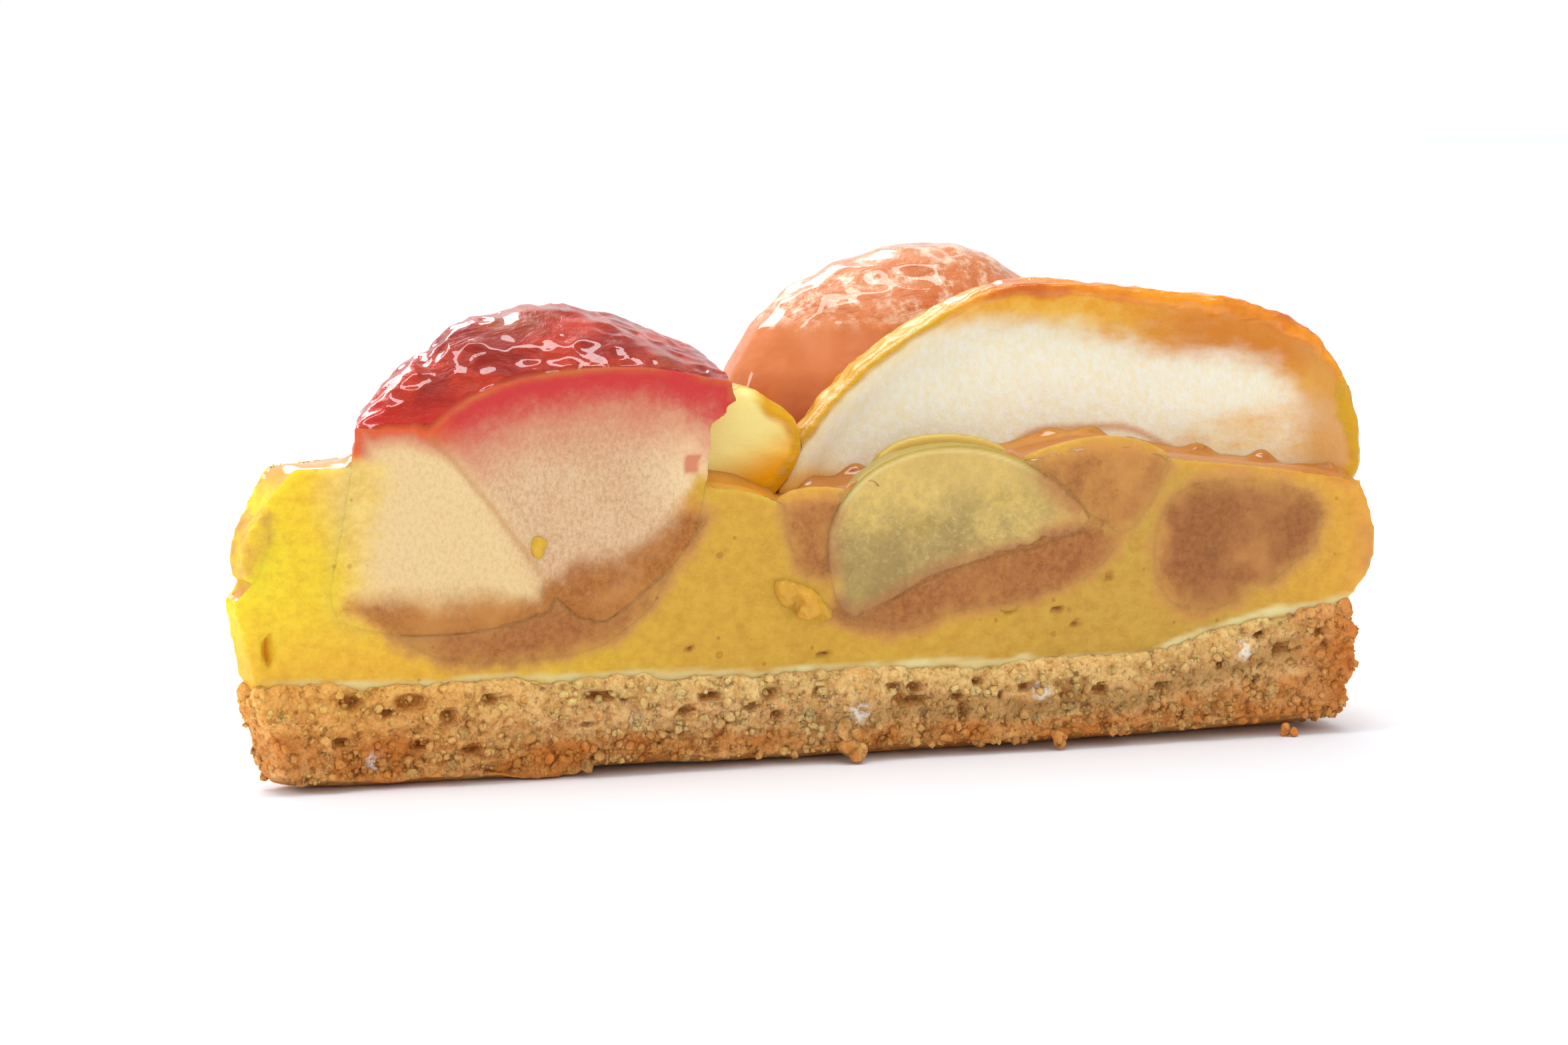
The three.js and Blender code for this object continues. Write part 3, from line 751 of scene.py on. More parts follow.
def glaze_crinkle():
    """The crinkled skin of a dried glaze: fine ridges that wander, with flatter patches between them."""
    tree, given, out = group("glaze_crinkle", {"Size": 2.0}, {"Height": "Float"})
    place = node(tree, "ShaderNodeTexCoord").outputs["Object"]
    place = node(tree, "ShaderNodeMapping", {"Vector": place, "Scale": (0.6, 0.9, 1.3)}).outputs[0]
    scale = maths("DIVIDE", 0.5 / MM, given["Size"])
    fine = node(tree, "ShaderNodeTexNoise", {
        "Vector": place, "Scale": scale, "Detail": 3.0, "Distortion": 0.9,
    }).outputs["Fac"]
    broad = node(tree, "ShaderNodeTexNoise", {
        "Vector": place, "Scale": times(scale, 0.75), "Detail": 6.0, "Roughness": 0.62, "Distortion": 1.1,
    }).outputs["Fac"]
    ridge = between(maths("ABSOLUTE", maths("SUBTRACT", fine, 0.5)), 0.0, 0.2)
    return given_out(out, Height=maths("ADD", times(ridge, 0.25), times(broad, 2.6)))


crinkle_group = glaze_crinkle()


def crinkled(tree, size):
    """The height of crinkled glaze in a material."""
    return placed(tree, crinkle_group, {"Size": size})["Height"]


def filling_look(name):
    """Custard or stewed apple, told apart by the marks on the mesh."""
    made, tree, shader = material(name, 0.4, (0.35, 4, (1.0, 0.6, 0.15)), Coat_Roughness=0.12)
    marks = {socket: marked(tree, socket.lower()) for socket in FILLING_INPUTS}
    filling = placed(tree, filling_group, marks)
    moist = scaled(grain(tree, 0.8, 3), 0.3, 0.36)
    height = scaled(times(crinkled(tree, 1.8), marks["Baked"]), 1.6, filling["Height"])
    wire(shader, filling["Color"], moist, height, 0.16, times(marks["Baked"], 0.9))
    return made


stewed_finish = filling_look("stewed_apple")
for name in [*STEWED_FRONT, "stewed_back_inner", "stewed_back_outer"]:
    mesh = copied("apple_" + name, face=STEWED_FACE)
    points = points_of(mesh)
    x, y, z = points.T
    _, before_back, along_back = cut_distances(points)
    moved = points.copy()
    for depth, across, lines, outward in (
        (y, x, STEWED_FRONT, np.array([0, -1, 0])),
        (before_back, along_back, STEWED_BACK, CUT_NORMAL),
    ):
        if name in lines:
            inside = depth_inside(rounded(lines[name]), across, z)
            proud = 0.12 - 0.35 * fall(inside, 0, 1.6) + 0.05 * lumps(points, 3.1, 61)
            moved += (proud * fall(depth, 0.3, 0.8))[:, None] * outward
    put_points(mesh, moved)
    deep_share = (1 - fall(inside_cuts(points), 0.5, 1.5)) * STEWED_STRENGTH.get(name, 1.0)
    mark(mesh, stewed=np.maximum(stain(points), deep_share), seam=0, baked=0)
    finished(name + "_apple", mesh, stewed_finish, "stewed_apple", "apple_" + name)

# Red apple: two wedges side by side, cut through by both cuts. Under a wrinkled, glazed red skin the flesh
# is crimson, then pink, then cream, and it browns where it meets the stewed piece below
RED_FACE = 0.32
SKIN_FROM = 32.5
STEW_CREEP = [(33, 18), (36, 20.5), (38, 23), (43, 23.8), (47, 26), (50, 28.2), (54, 30.6), (58, 31.5)]
CHIP_X, CHIP_Z = 51.6, 33.9
CREASE = [(22.1, 38), (24.6, 35.4), (28.8, 30.4), (33.8, 23.4), (36.4, 19.4)]


def distance_to(points, targets, most=14.0):
    """How far each point is from the nearest of the targets."""
    tree = KDTree(len(targets))
    for i, target in enumerate(targets):
        tree.insert(target, i)
    tree.balance()
    return np.array([min(tree.find(p)[2], most) for p in points])


RED_DEEP = "#971c0a"
RED_SKIN = "#c23214"
RED_BRIGHT = "#c4200c"
RED_RUST = "#a4441f"
CRIMSON = "#d83e3c"
FRINGE = "#e4602f"
PINK = "#dc8064"
PINK_CHIP = "#e2906c"
FLESH = "#dfb289"
FLESH_PALE = "#eecda2"
FLESH_LEFT = "#f6d79e"
FLESH_RIGHT = "#ffe2b2"
FLESH_SPECK = "#f4ece0"
FLESH_BROWN = "#c9813c"
DRIED_EDGE = "#cf7038"


def blended(share, under, over):
    """Two numbers mixed by a share."""
    return node(tree_of(share), "ShaderNodeMix", {0: share, 2: under, 3: over}, data_type="FLOAT").outputs[0]


def red_look():
    made, tree, shader = material(
        "red_apple", 0.22, (0.25, 1.6, (1.0, 0.45, 0.25)), Coat_Roughness=0.04, Coat_IOR=1.5,
    )
    skin, under, leftward, veil = (marked(tree, name) for name in ("skin", "under_skin", "leftward", "veil"))
    filling = placed(tree, filling_group, {"Stewed": marked(tree, "stewed")})
    fibre = grain(tree, 0.24, 5, stretch=(1, 1, 0.8), rough=0.75)
    pale = between(scaled(grain(tree, 3, 3), 0.5, fibre), 0.5, 1.0)
    flesh = mixed(pale, FLESH, FLESH_PALE)
    flesh = layered(flesh, (leftward, FLESH_LEFT), (marked(tree, "rightward"), FLESH_RIGHT))
    flesh = mixed(between(fibre, 0.6, 0.3), flesh, FLESH_SPECK, "MULTIPLY")
    deep = maths("ADD", under, scaled(grain(tree, 1.1, 7, rough=0.8, seed=0.4), 6.4, -3.2))
    dried = times(between(under, 1.3, 0.5), between(grain(tree, 3, 3, seed=0.6), 0.35, 0.6))
    blur = times(scaled(grain(tree, 1.5, 5, rough=0.7, seed=1.1), 0.9, -0.45), between(veil, 0.0, 0.25))
    flesh = layered(
        flesh,
        (between(deep, 12.0, 1.8), PINK),
        (between(deep, 5.6, 1.2), mixed(leftward, CRIMSON, FRINGE)),
        (times(dried, 0.8), DRIED_EDGE),
        (marked(tree, "chip"), PINK_CHIP),
        (marked(tree, "crease"), FLESH_BROWN),
        (between(maths("ADD", veil, blur), 0.05, 0.95), filling["Color"]),
    )
    red = layered(
        mixed(between(grain(tree, 3.4, 5, rough=0.7, seed=0.8), 0.38, 0.62), RED_DEEP, RED_SKIN),
        (between(grain(tree, 6, 3, seed=1.4), 0.52, 0.7), RED_RUST),
        (marked(tree, "skin_end"), RED_BRIGHT),
    )
    height = blended(skin, times(fibre, 0.55), crinkled(tree, 2.2))
    wire(shader, mixed(skin, flesh, red), scaled(skin, -0.15, 0.5), height, 0.32, skin)
    return made


red_mesh = copied("apple_red", "apple_red_at_tip", face=RED_FACE)
points = points_of(red_mesh)
x, y, z = points.T
normals = normals_of(red_mesh)
nearest_cut = inside_cuts(points)
flat = np.abs(normals @ CUT_NORMAL) > 0.9
flat |= (normals[:, 1] < -0.9) & (y < 0.6)
skin = rise(nearest_cut, 0.1, 0.45) * rise(normals[:, 2], 0.1, 0.12) * rise(z, SKIN_FROM, 1.0) * ~flat
leftness = fall(x - 19 + 0.5 * (z - 38), 0, 7)
buried = points[(nearest_cut >= 0.35) & (skin < 0.3) & (z < 37)]
veil_width = 2.4 + 4.6 * leftness + 3.4 * rise(x, 30, 12) * fall(z, 27, 6)
veil = fall(distance_to(points, buried), 0.3, veil_width)
veil *= fall(z - 31 - 3 * leftness, 0, 3.5)
above_stew = z - along(STEW_CREEP, x)
risen = 0.85 * fall(above_stew, -2.2, 5.4) * rise(x, 34, 3)
from_line = np.full(len(points), 9.0)
for (ax, az), (bx, bz) in itertools.pairwise(CREASE):
    run = np.array([bx - ax, bz - az])
    offset = points[:, [0, 2]] - (ax, az)
    share = np.clip(offset @ run / (run @ run), 0, 1)
    from_line = np.minimum(from_line, np.linalg.norm(offset - share[:, None] * run, axis=1))
on_front = y < 0.8
off_chip = np.maximum(np.abs(x - CHIP_X) / 0.9, np.abs(z - CHIP_Z) / 1.1)
mark(
    red_mesh,
    skin=skin,
    under_skin=distance_to(points, points[skin > 0.5]) * (1 + 2.6 * leftness),
    veil=np.maximum(veil, risen * (y < 1.5)),
    stewed=stain(points),
    crease=fall(from_line, 0, 0.6) * 0.5 * on_front * rise(z, 18, 8),
    leftward=fall(x - 22 - 0.6 * (38 - z), 0, 5),
    rightward=rise(x, 44, 9) * rise(z, 25, 8),
    skin_end=fall(z, 39.5, 4) * (x < 32),
    chip=fall(off_chip, 0.75, 0.4) * on_front,
)
wrinkles = np.abs(lumps(points * (1, 0.7, 1), 4.0, 71)) * 0.9 + 0.6 * np.abs(lumps(points, 1.9, 72))
moved = points + normals * (skin * (0.28 - 0.6 * wrinkles))[:, None]
teeth = rise(x, 50, 2) * rise(z, 31, 2) * fall(y, 1, 2)
moved[:, 0] += teeth * (0.5 * lumps(points, 1.3, 73) + 0.35 * lumps(points, 2.6, 74) - 0.2)
put_points(red_mesh, moved)
finished("red_apple", red_mesh, red_look(), "red_apple", "apple_red", "apple_red_at_tip")

# Golden apple: a wide slice that stands behind the front cut and leans back. Its flesh has dried and shrunk,
# and its glazed skin stands round it as an amber lip
GOLDEN_SLICE = [
    (64.4, 26.4), (63.3, 29), (64.3, 32.7), (67.7, 36.8), (72.1, 41), (77.9, 45.1), (83.7, 48.3),
    (89.5, 50.6), (94.5, 51.4), (104.6, 50.5), (112, 49.6), (121.7, 48.1), (126.8, 46), (130.8, 42.6),
    (132.8, 38.6), (133.6, 33.6), (133.4, 29), (131.4, 26.4), (97, 26.2),
]
GOLDEN_FACE = 0.36
GOLDEN_BEHIND = 6
GOLDEN_LEAN = 0.2
GOLDEN_FOOT = 28
LIP_WIDTH = [(63, 1.2), (72, 0.9), (84, 1.1), (92, 2.0), (104, 2.6), (118, 3.2), (128, 3.4), (134, 3.4)]
SKIN_OLIVE = "#d8a31c"
SKIN_GOLD = "#f5b020"
LIP_AMBER = "#f89b18"
LIP_BURNT = "#cc5400"
UNDER_LIP = "#f2a51c"
UNDER_LIP_PALE = "#fcca58"
GOLDEN_FLESH = "#ffedc2"
GOLDEN_FLESH_PALE = "#fffaea"
GOLDEN_FLESH_LEFT = "#ffe9b4"
END_AMBER = "#e0862c"
GOLDEN_WET = "#e2a04a"
WET_LINE = "#d98a34"


def golden_look():
    made, tree, shader = material(
        "golden_apple", 0.3, (0.25, 1.6, (1.0, 0.6, 0.3)), Coat_Roughness=0.06, Coat_IOR=1.5,
    )
    lip, top, shade, wet_end = (marked(tree, name) for name in ("lip", "top", "shade", "wet_end"))
    fibre = grain(tree, 0.4, 5, stretch=(1.2, 1.2, 0.7), rough=0.75)
    blur = scaled(grain(tree, 2.2, 5, stretch=(0.5, 1, 1.4), rough=0.7, seed=1.6), 1.1, -0.55)
    shade = scaled(blur, between(shade, 0.0, 0.3), shade)
    # Amber under the lip: partly dried flesh, partly painted shade
    amber = layered(
        mixed(between(grain(tree, 2.6, 5, rough=0.7, seed=2.7), 0.35, 0.7), UNDER_LIP, UNDER_LIP_PALE),
        (marked(tree, "outer_end"), END_AMBER),
        (marked(tree, "leftward"), GOLDEN_FLESH_LEFT),
    )
    flesh = layered(
        mixed(between(fibre, 0.25, 0.7), GOLDEN_FLESH, GOLDEN_FLESH_PALE),
        (between(shade, 0.0, 0.95), amber),
        (wet_end, GOLDEN_WET),
        (marked(tree, "wet_line"), WET_LINE),
    )
    burnt = mixed(between(grain(tree, 5, 4, rough=0.65, seed=0.2), 0.35, 0.68), LIP_AMBER, LIP_BURNT)
    skin = layered(mixed(top, SKIN_OLIVE, SKIN_GOLD), (times(top, 0.85), burnt))
    wet = maths("MAXIMUM", lip, wet_end)
    height = blended(lip, fibre, crinkled(tree, 2.0))
    gloss = times(wet, scaled(top, 0.4, 0.3))
    wire(shader, mixed(lip, flesh, skin), scaled(wet, -0.25, 0.5), height, 0.25, gloss)
    return made


golden_mesh = copied("apple_golden", face=GOLDEN_FACE)
points = points_of(golden_mesh)
x, y, z = points.T
normals = normals_of(golden_mesh)
inside = depth_inside(rounded(GOLDEN_SLICE), x, z)
face_y = GOLDEN_BEHIND + GOLDEN_LEAN * (z - GOLDEN_FOOT)
on_face = rise(-normals[:, 1], 0.35, 0.3) * (y < face_y + 2.4)
width = along(LIP_WIDTH, x) * (0.55 + 0.3 * lumps(points, 4, 81) + 0.2 * lumps(points, 1.6, 86))
edge = fall(inside, 0.75 * width, 0.7)
outer_side = 1 - on_face
above_foot = rise(z, 27.6, 1.2)
lip = np.maximum(edge * on_face * above_foot, outer_side)
reach_in = width + 0.6 + 2.2 * rise(x, 92, 14)
# Under the lip the flesh is painted amber: partly its own dried, see-through flesh, partly painted shade
# under the overhanging lip
under = rise(x, 80, 16) * fall(inside - reach_in, -1.6, 6.6) * rise(z, 34, 7)
foot_right = rise(x, 104, 10) * fall(z - 33.5 - 0.25 * (x - 115), 0, 4)
foot_left = fall(x, 68, 8) * fall(z, 31, 4)
shade = np.maximum(under + 0.55 * fall(inside, 1.0, 2.4), 0.4 * foot_right)
foot_line = 29.0 + 5.6 * rise(x, 84, 12) * fall(x, 104, 14)
mark(
    golden_mesh,
    lip=lip,
    top=rise(x, 82, 9) * rise(z, 38, 5),
    shade=np.clip(np.maximum(shade, 0.8 * foot_left), 0, 1),
    leftward=fall(x, 78, 12) * rise(z, 30, 3),
    outer_end=rise(x, 102, 14) * rise(z, 38, 5) * 0.85,
    wet_end=rise(x - 124.5 + 1.5 * lumps(points, 5, 82), 0, 6) * 0.8,
    wet_line=fall(np.abs(z - foot_line - 0.4), 0, 0.8) * 0.7,
)
ripples = 0.08 * lumps(points * (1.6, 1.6, 0.4), 1.8, 83) + 0.14 * lumps(points, 6, 84)
creases = -0.6 * np.abs(lumps(points * (0.8, 1.4, 1), 3.4, 85))
creases = creases - 0.35 * np.abs(lumps(points, 1.9, 87)) + 0.15
put_points(golden_mesh, points + normals * (ripples * (1 - lip) + (creases + 0.2) * lip)[:, None])
finished("golden_apple", golden_mesh, golden_look(), "golden_apple", "apple_golden")

# Rosy apple: half a peeled apple, rounded side up, at the back. It is salmon and rust, and the glaze has
# crinkled along its top, which is painted pale: partly dried white glaze, partly painted highlight
ROSY_FACE = 0.42
CREST_FROM = 44
ROSY = "#d67f44"
ROSY_DEEP = "#b95a1e"
ROSY_PINK = "#e69363"
ROSY_PALE_GLINT = "#f8dcc0"


def rosy_look():
    made, tree, shader = material(
        "rosy_apple", 0.25, (0.3, 4, (1.0, 0.5, 0.25)), Coat_Roughness=0.05, Coat_IOR=1.5, Coat_Weight=0.9,
    )
    crest = marked(tree, "crest")
    cloud = grain(tree, 8, 4, rough=0.6)
    blotch = between(grain(tree, 2.4, 5, rough=0.7, seed=0.4), 0.54, 0.7)
    # Pale patches on the crest: partly dried glaze, partly painted highlight
    frost_and_glint = between(grain(tree, 1.4, 5, rough=0.7, seed=0.1), 0.46, 0.66)
    color = layered(
        mixed(between(cloud, 0.35, 0.65), ROSY, ROSY_PINK),
        (marked(tree, "low"), ROSY_DEEP),
        (times(blotch, 0.45), ROSY_DEEP),
        (times(crest, frost_and_glint), ROSY_PALE_GLINT),
    )
    height = blended(crest, grain(tree, 2.0, 2), crinkled(tree, 1.6))
    wire(shader, color, scaled(cloud, 0.1, 0.24), height, 0.35)
    return made


rosy_mesh = copied("apple_rosy", face=ROSY_FACE, rounds=4)
points = points_of(rosy_mesh)
z = points[:, 2]
normals = normals_of(rosy_mesh)
crest = rise(z - CREST_FROM + 1.6 * lumps(points, 5, 91), 0, 5)
mark(rosy_mesh, crest=crest, low=fall(z - 33 + 2 * lumps(points, 7, 92), 0, 9) * 0.8)
wrinkles = np.abs(lumps(points * (0.8, 1, 1), 3.6, 93))
swell = 0.3 * lumps(points, 9, 94) - 0.55 * crest * wrinkles
put_points(rosy_mesh, points + normals * swell[:, None])
finished("rosy_apple", rosy_mesh, rosy_look(), "rosy_apple", "apple_rosy")

# Green apple: a thin slice that lies flush in the front cut, see-through and olive, with a second, paler one
# close behind it, of which the top edge shows
GREEN_SLICE = [
    (67.1, 24), (67.6, 27), (69.4, 30), (72.2, 32.4), (75.8, 34), (80.2, 34.7), (84.8, 34.4), (89.4, 32.9),
    (94, 30.1), (97.2, 27), (97.9, 25.2), (93.2, 23.7), (87.6, 22.5), (80.4, 20.7), (75.7, 18.6),
    (71.1, 16.4), (69.2, 16.1), (67.9, 18.6),
]
GREEN_FACE = 0.3
RING_DEPTH = 0.55
GREEN_FLESH = "#b3954e"
GREEN_PALE = "#e6c366"
GREEN_DARK = "#9a7c34"
GREEN_SKIN = "#a89238"
GREEN_SKIN_PALE = "#e4d697"


def green_look():
    made, tree, shader = material(
        "green_apple", 0.45, (0.4, 3, (1.0, 0.8, 0.4)), Coat_Roughness=0.1, Coat_Weight=0.3,
    )
    fibre = grain(tree, 0.45, 5, rough=0.75)
    specks = between(grain(tree, 0.36, 4, rough=0.8, seed=1.3), 0.5, 0.7)
    filling = placed(tree, filling_group, {"Stewed": marked(tree, "stewed")})
    color = layered(
        mixed(between(grain(tree, 4.5, 4, rough=0.6), 0.38, 0.66), GREEN_FLESH, GREEN_PALE),
        (times(between(fibre, 0.62, 0.36), 0.45), GREEN_DARK),
        (times(specks, 0.42), GREEN_SKIN_PALE),
        (marked(tree, "dim"), GREEN_DARK),
        (marked(tree, "upper"), GREEN_PALE),
        (marked(tree, "ring"), GREEN_SKIN_PALE),
        (marked(tree, "skin"), GREEN_SKIN),
        (marked(tree, "veil"), filling["Color"]),
    )
    wire(shader, color, scaled(fibre, 0.2, 0.32), fibre, 0.12)
    return made


green_finish = green_look()
for node_name, piece_name in (("apple_green", "green_apple"), ("apple_thin", "thin_apple")):
    mesh = copied(node_name, face=GREEN_FACE)
    points = points_of(mesh)
    x, _, z = points.T
    normals = normals_of(mesh)
    inside = depth_inside(rounded(GREEN_SLICE), x, z)
    on_face = rise(-normals[:, 1], 0.5, 0.3)
    above = rise(z - 22 - 0.12 * (x - 68), 0, 3)
    is_thin = node_name == "apple_thin"
    if is_thin:
        inside = np.full(len(points), 9.0)
    lower_right = fall(z - 24.5 - 0.2 * (82 - x), 0, 3)
    far_right = rise(x, 88, 6)
    veil = fall(inside, 0, 2.2 + 1.6 * far_right) * np.maximum(lower_right * 0.8, far_right)
    mark(
        mesh,
        ring=fall(np.abs(inside - RING_DEPTH), 0, 0.35) * on_face * above * 0.6,
        skin=np.maximum(fall(inside, 0, 0.45) * 0.9, (1 - on_face) * 0.7) * above,
        upper=rise(z, 24, 10) * 0.6 + is_thin * 0.4,
        dim=0.5 * rise(27 - z, 0, 8) * fall(x, 72, 9),
        veil=veil * on_face,
        stewed=stain(points),
    )
    put_points(mesh, points + normals * (0.1 * lumps(points, 2.5, 101) - 0.03)[:, None])
    finished(piece_name, mesh, green_finish, "green_apple", node_name)

# Small apple wedge between the red one and the golden one: cream flesh with ridges across it and wrinkled
# olive skin along its right side
SMALL_WEDGE = [
    (54.4, 29), (54.2, 35.6), (56.2, 39.6), (59.6, 41.2), (62.4, 39.6), (65.2, 37.7), (66.2, 35), (65, 32),
    (62.4, 29),
]
SMALL_SKIN_FROM = 59.5
SMALL_FLESH = "#ffee98"
SMALL_FLESH_GOLD = "#f6ab00"
SMALL_SKIN = "#dfa30a"
SMALL_SKIN_DARK = "#94701f"


def small_look():
    made, tree, shader = material("yellow_apple", 0.1, (0.3, 3, (1.0, 0.7, 0.3)), Coat_Roughness=0.08)
    skin = marked(tree, "skin")
    fibre = grain(tree, 0.8, 4, stretch=(0.6, 1.5, 1.5), rough=0.65)
    olive = mixed(between(grain(tree, 1.4, 4), 0.5, 0.85), SMALL_SKIN, SMALL_SKIN_DARK)
    color = layered(mixed(marked(tree, "gold"), SMALL_FLESH, SMALL_FLESH_GOLD), (skin, olive))
    height = blended(skin, fibre, crinkled(tree, 1.4))
    wire(shader, color, scaled(fibre, 0.2, 0.3), height, 0.22, times(skin, 0.6))
    return made


small_mesh = copied("apple_small", face=GREEN_FACE)
points = points_of(small_mesh)
x, y, z = points.T
normals = normals_of(small_mesh)
inside = depth_inside(rounded(SMALL_WEDGE), x, z)
right = rise(x, SMALL_SKIN_FROM, 2.5)
skin = right * fall(inside - 1.0 - 0.5 * lumps(points, 2, 111), 0, 0.8)
skin = np.maximum(skin, fall(-normals[:, 1], 0.3, 0.3) * 0.9 * (y > 6.5))
mark(small_mesh, skin=skin, gold=rise(35.5 - z + 0.5 * (x - 58), 0, 6.5))
ridges = 0.22 * lumps(points * (0.35, 1, 1.2) + (0, 0, 0.3) * points[:, :1], 1.7, 112)
put_points(small_mesh, points + normals * ridges[:, None])
finished("small_apple", small_mesh, small_look(), "yellow_apple", "apple_small")

# Custard: baked round the apples and cut smooth with them. Its top is glazed and creeps up the pieces that
# stand in it. It is modelled whole from a block, and gives way a little behind the crisp pieces in its cuts
SLICE_LENGTH = 130
CUSTARD_FACE = 0.46
CUSTARD_TOP = [
    (0, 34), (5, 35.2), (15, 35.2), (35, 33), (54, 31.5), (59, 30.6), (64, 28.6), (69, 30.4), (90, 33),
    (100, 34.4), (108, 32.6), (120, 31), (133, 28.6),
]
TIP_EDGE = [
    (0, 5.2), (3, 5.1), (6, 4.8), (9, 3.8), (13.5, 2.4), (18.6, 1.3), (21, 0.8), (23.5, 3.4), (25.2, 2.1),
    (27, 2.3), (32, 5.4), (35.2, 8.5),
]
RIM_EDGE = [
    (0, 129.2), (3, 129.9), (8, 130), (12.5, 130.1), (14.6, 129.2), (16, 130.2), (19, 132.2), (23, 132.6),
    (26, 132), (29, 130.7), (32, 128.8),
]
CUSTARD_BLOCKS = (90, 24, 16)
CUSTARD_BED = 0.6
HOLES = [
    (4.3, 15.7, 0.55, 1.7, 1.3), (27.5, 15.2, 0.75, 0.45, 0.9), (22, 15.3, 0.45, 0.35, 0.6),
    (88.4, 16.2, 1.1, 0.4, 0.9), (94.2, 15.8, 0.8, 0.4, 0.7), (96.3, 14.2, 0.7, 0.35, 0.6),
    (100.3, 19.3, 0.5, 0.35, 0.6), (66.6, 12.1, 0.9, 0.3, 0.6), (51.2, 13.6, 0.45, 0.3, 0.5),
]
CLUMPS = [(62.8, 0.2, 19, 1.5), (65, 0.1, 17.9, 1.6), (66.6, 0.2, 17, 1.1), (34.0, 0.2, 25.4, 0.9)]
CLUMP_FACE = 0.2
CRISP = ("red_apple", "green_apple")
TOPPINGS = (*CRISP, "small_apple", "golden_apple", "rosy_apple", "thin_apple")
TOPPING_REACH = 2.5
CRISP_GAP = 0.5
CREEP_REACH = 1.6
SEAM_ABOVE_CRUST = 0.5

block = bmesh.new()
bmesh.ops.create_cube(block, size=1)
for axis, cuts in enumerate(CUSTARD_BLOCKS):
    edges = [e for e in block.edges if abs((e.verts[0].co - e.verts[1].co)[axis]) > 0.5]
    bmesh.ops.subdivide_edges(block, edges=edges, cuts=cuts - 1, use_grid_fill=True)
block_mesh = closed(block, "custard_block")
outward, inward, upward = (points_of(block_mesh) + 0.5).T
flat_reach = outward * SLICE_LENGTH
bottom = along(CRUST_TOP, flat_reach) - CUSTARD_BED
level = bottom + (along(CUSTARD_TOP, flat_reach) - bottom) * upward
reach = along(TIP_EDGE, level) * (1 - outward) + along(RIM_EDGE, level) * outward
bottom = along(CRUST_TOP, reach) - CUSTARD_BED
height = bottom + (along(CUSTARD_TOP, reach) - bottom) * upward
radius = reach + TIP_CUT
angle = inward * SLICE_ANGLE
put_points(block_mesh, np.stack([radius * np.cos(angle) - TIP_CUT, radius * np.sin(angle), height], axis=1))
custard_mesh = refined("custard", block_mesh, CUSTARD_FACE, 2)
points = points_of(custard_mesh)
x, y, z = points.T
normals = normals_of(custard_mesh)
on_top = rise(normals[:, 2], 0.45, 0.3)
swell = 0.04 * lumps(points, 7, 4) + 0.025 * lumps(points, 2.1, 5) + 0.08
crust_line = along(CRUST_TOP, reach_of(points))
swell -= 0.28 * fall(z - crust_line, 0.3 * lumps(points, 2.4, 124), 1.1)
sag = 0.4 * lumps(points, 9, 3) + 0.16 * lumps(points, 3.3, 6) - 0.5 * fall(inside_cuts(points), 0, 3)
moved = points + normals * (swell * (1 - on_top))[:, None]
moved[:, 2] += sag * on_top
# The holes are dug into the cut and painted stewed brown: painted shade in the holes
hole_shade = np.zeros(len(points))
for hole_x, hole_z, half_width, half_height, depth in HOLES:
    away = np.hypot((x - hole_x) / half_width, (z - hole_z) / half_height)
    bored = fall(away, 0.5, 0.7) * (y < 0.7)
    moved[:, 1] += bored * depth * 1.5
    hole_shade = np.maximum(hole_shade, bored)

creep = np.zeros(len(points))
for name in TOPPINGS:
    piece = points_of(bpy.data.objects[name].data) / MM + np.array(MIDDLE)
    low, high = piece.min(0) - TOPPING_REACH, piece.max(0) + TOPPING_REACH
    close = np.flatnonzero(np.all((points > low) & (points < high), axis=1))
    shell = bmesh.new()
    shell.from_mesh(bpy.data.objects[name].data)
    bmesh.ops.scale(shell, vec=(1 / MM,) * 3, verts=shell.verts)
    bmesh.ops.translate(shell, vec=MIDDLE, verts=shell.verts)
    finder = BVHTree.FromBMesh(shell)
    shell.free()
    sides = piece[inside_cuts(piece) > 0.5]
    from_sides = np.zeros(len(points))
    if name in CRISP:
        from_sides[close] = distance_to(points[close], sides)
    for i in close:
        spot, normal, _, distance = finder.find_nearest(points[i], TOPPING_REACH)
        if spot is None:
            continue
        offset = Vector(points[i]) - spot
        if on_top[i] > 0.5:
            outside = distance if offset.dot(normal) > 0 else 0.0
            creep[i] = max(creep[i], (1 - min(outside / CREEP_REACH, 1)) ** 2)
        elif name in CRISP and distance < 0.9 and normal.dot(Vector(normals[i])) > 0.8:
            sideways = (offset - normal * offset.dot(normal)).length
            if sideways < 0.15:
                moved[i] -= normals[i] * CRISP_GAP * rise(from_sides[i], 0.35, 1.3)
moved[:, 2] += (0.8 + 0.7 * lumps(points, 2.6, 125)) * creep * on_top
put_points(custard_mesh, moved)
wave = 0.4 * lumps(points, 5, 121) + 0.25 * lumps(points, 1.8, 122)
seam = fall(np.abs(z - crust_line - SEAM_ABOVE_CRUST - wave), 0.22, 0.6)
patchy = 0.7 + 0.3 * smooth(lumps(points, 3.5, 123) + 0.6)
rim = rise(reach_of(points), 129, 3)
below_top = along(CUSTARD_TOP, reach_of(points)) - z
film = 0.75 * fall(below_top - 0.5 - 0.9 * lumps(points, 3.2, 126), 0, 1.2) * rise(x, 60, 6)
shelf = on_top * rise(x, 66, 4) * fall(y, 6.5, 2)
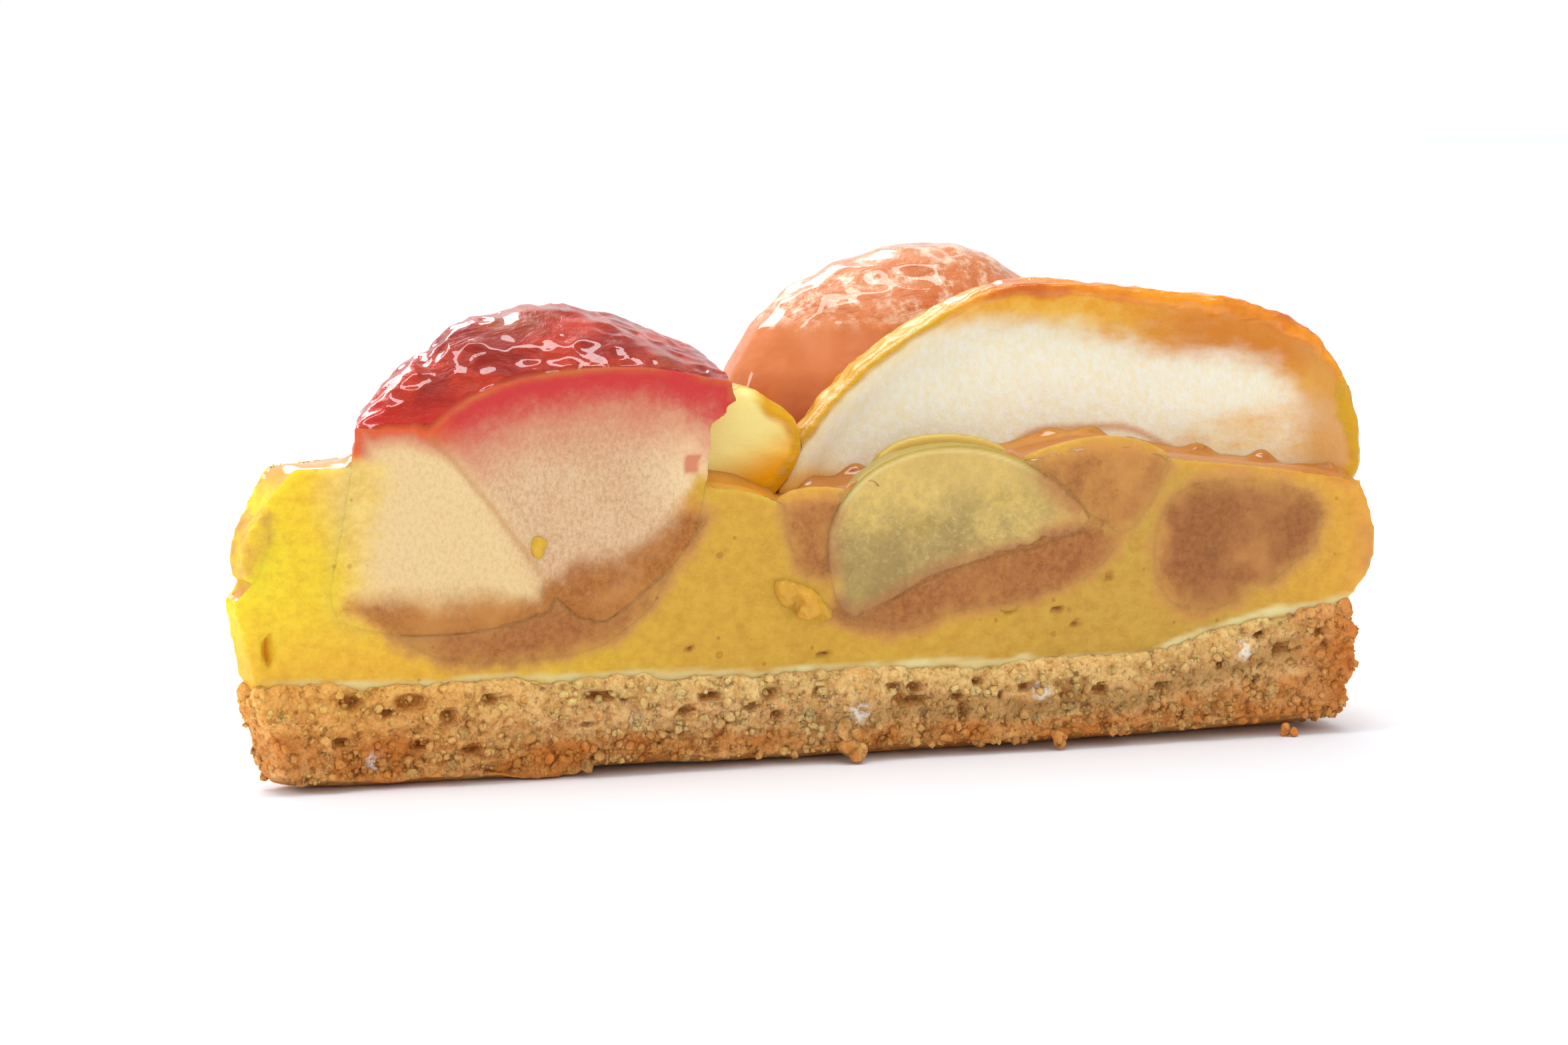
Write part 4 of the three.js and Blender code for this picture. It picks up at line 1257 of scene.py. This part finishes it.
mark(
    custard_mesh,
    stewed=np.maximum(stain(points), 0.75 * hole_shade * rise(x, 8, 12)),
    seam=0.95 * seam * patchy * rise(x, 2, 6),
    baked=np.clip(np.maximum(np.maximum(on_top, film), 0.85 * rim), 0, 1),
    syrup=np.clip(shelf + 0.7 * on_top * creep + 0.6 * film * (1 - on_top), 0, 1),
)
custard_finish = filling_look("custard")
finished("custard_filling", custard_mesh, custard_finish, "custard", "custard")

clumps = bmesh.new()
for k, (*place, radius) in enumerate(CLUMPS):
    add_crumb(clumps, LUMP_SHAPES[k % len(LUMP_SHAPES)], place, radius)
clumps_mesh = refined("custard_clumps", closed(clumps, "clumps_rough"), CLUMP_FACE, 1)
points = points_of(clumps_mesh)
put_points(clumps_mesh, points + normals_of(clumps_mesh) * (0.22 * lumps(points, 0.7, 131))[:, None])
mark(clumps_mesh, stewed=0, seam=0, baked=0.4)
finished("custard_clumps", clumps_mesh, custard_finish, "custard")

# Floor, light and world: a plain white table in a white room. A wide soft light stands behind the slice, a
# strip hangs above it and a weak one stands at its left. Glosses mirror the room dimmed, most of all in front
FLOOR_SIZE = 0.9
FLOOR_COOL = "#eef2fa"
FLOOR_WHITE = "#f3f6fc"
ROOM_LIGHT = 0.87
LIGHT_AIM = Vector((0, 0, 0.03))
LIGHTS = {
    "light_behind": ((-0.15, 0.75, 0.75), 0.7, 0.35, 6),
    "light_above": ((0, -0.05, 0.8), 0.7, 0.14, 2.6),
    "light_left": ((-0.9, 0.1, 0.45), 0.3, 0.3, 2),
}

floor_shell = bmesh.new()
bmesh.ops.create_grid(floor_shell, x_segments=1, y_segments=1, size=FLOOR_SIZE)
floor = added("floor", closed(floor_shell, "floor"))
floor_look, tree, shader = material("white_table", 0.2, Roughness=0.6)
tree.links.new(mixed(grain(tree, 40, 2), FLOOR_COOL, FLOOR_WHITE), shader.inputs["Base Color"])
floor.data.materials.append(floor_look)
floor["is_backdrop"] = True

for name, (place, width, depth, power) in LIGHTS.items():
    light = bpy.data.lights.new(name, "AREA")
    light.shape = "RECTANGLE"
    light.size = width
    light.size_y = depth
    light.energy = power
    lamp = added(name, light)
    lamp.location = place
    lamp.rotation_euler = (LIGHT_AIM - Vector(place)).to_track_quat("-Z", "Y").to_euler()

world = bpy.data.worlds.new("white_room")
world.use_nodes = True
scene.world = world
room = world.node_tree
ray = node(room, "ShaderNodeLightPath").outputs
toward = node(room, "ShaderNodeTexCoord").outputs["Generated"]
behind = between(node(room, "ShaderNodeSeparateXYZ", {0: toward}).outputs["Y"], 0.5, 0.85)
dimmed = scaled(ray["Is Glossy Ray"], scaled(behind, 0.5, -0.6), ROOM_LIGHT)
background = room.nodes["Background"]
background.inputs["Color"].default_value = (1, 1, 1, 1)
room.links.new(maths("MAXIMUM", dimmed, ray["Is Camera Ray"]), background.inputs["Strength"])
scene.view_settings.view_transform = "Standard"

low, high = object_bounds()
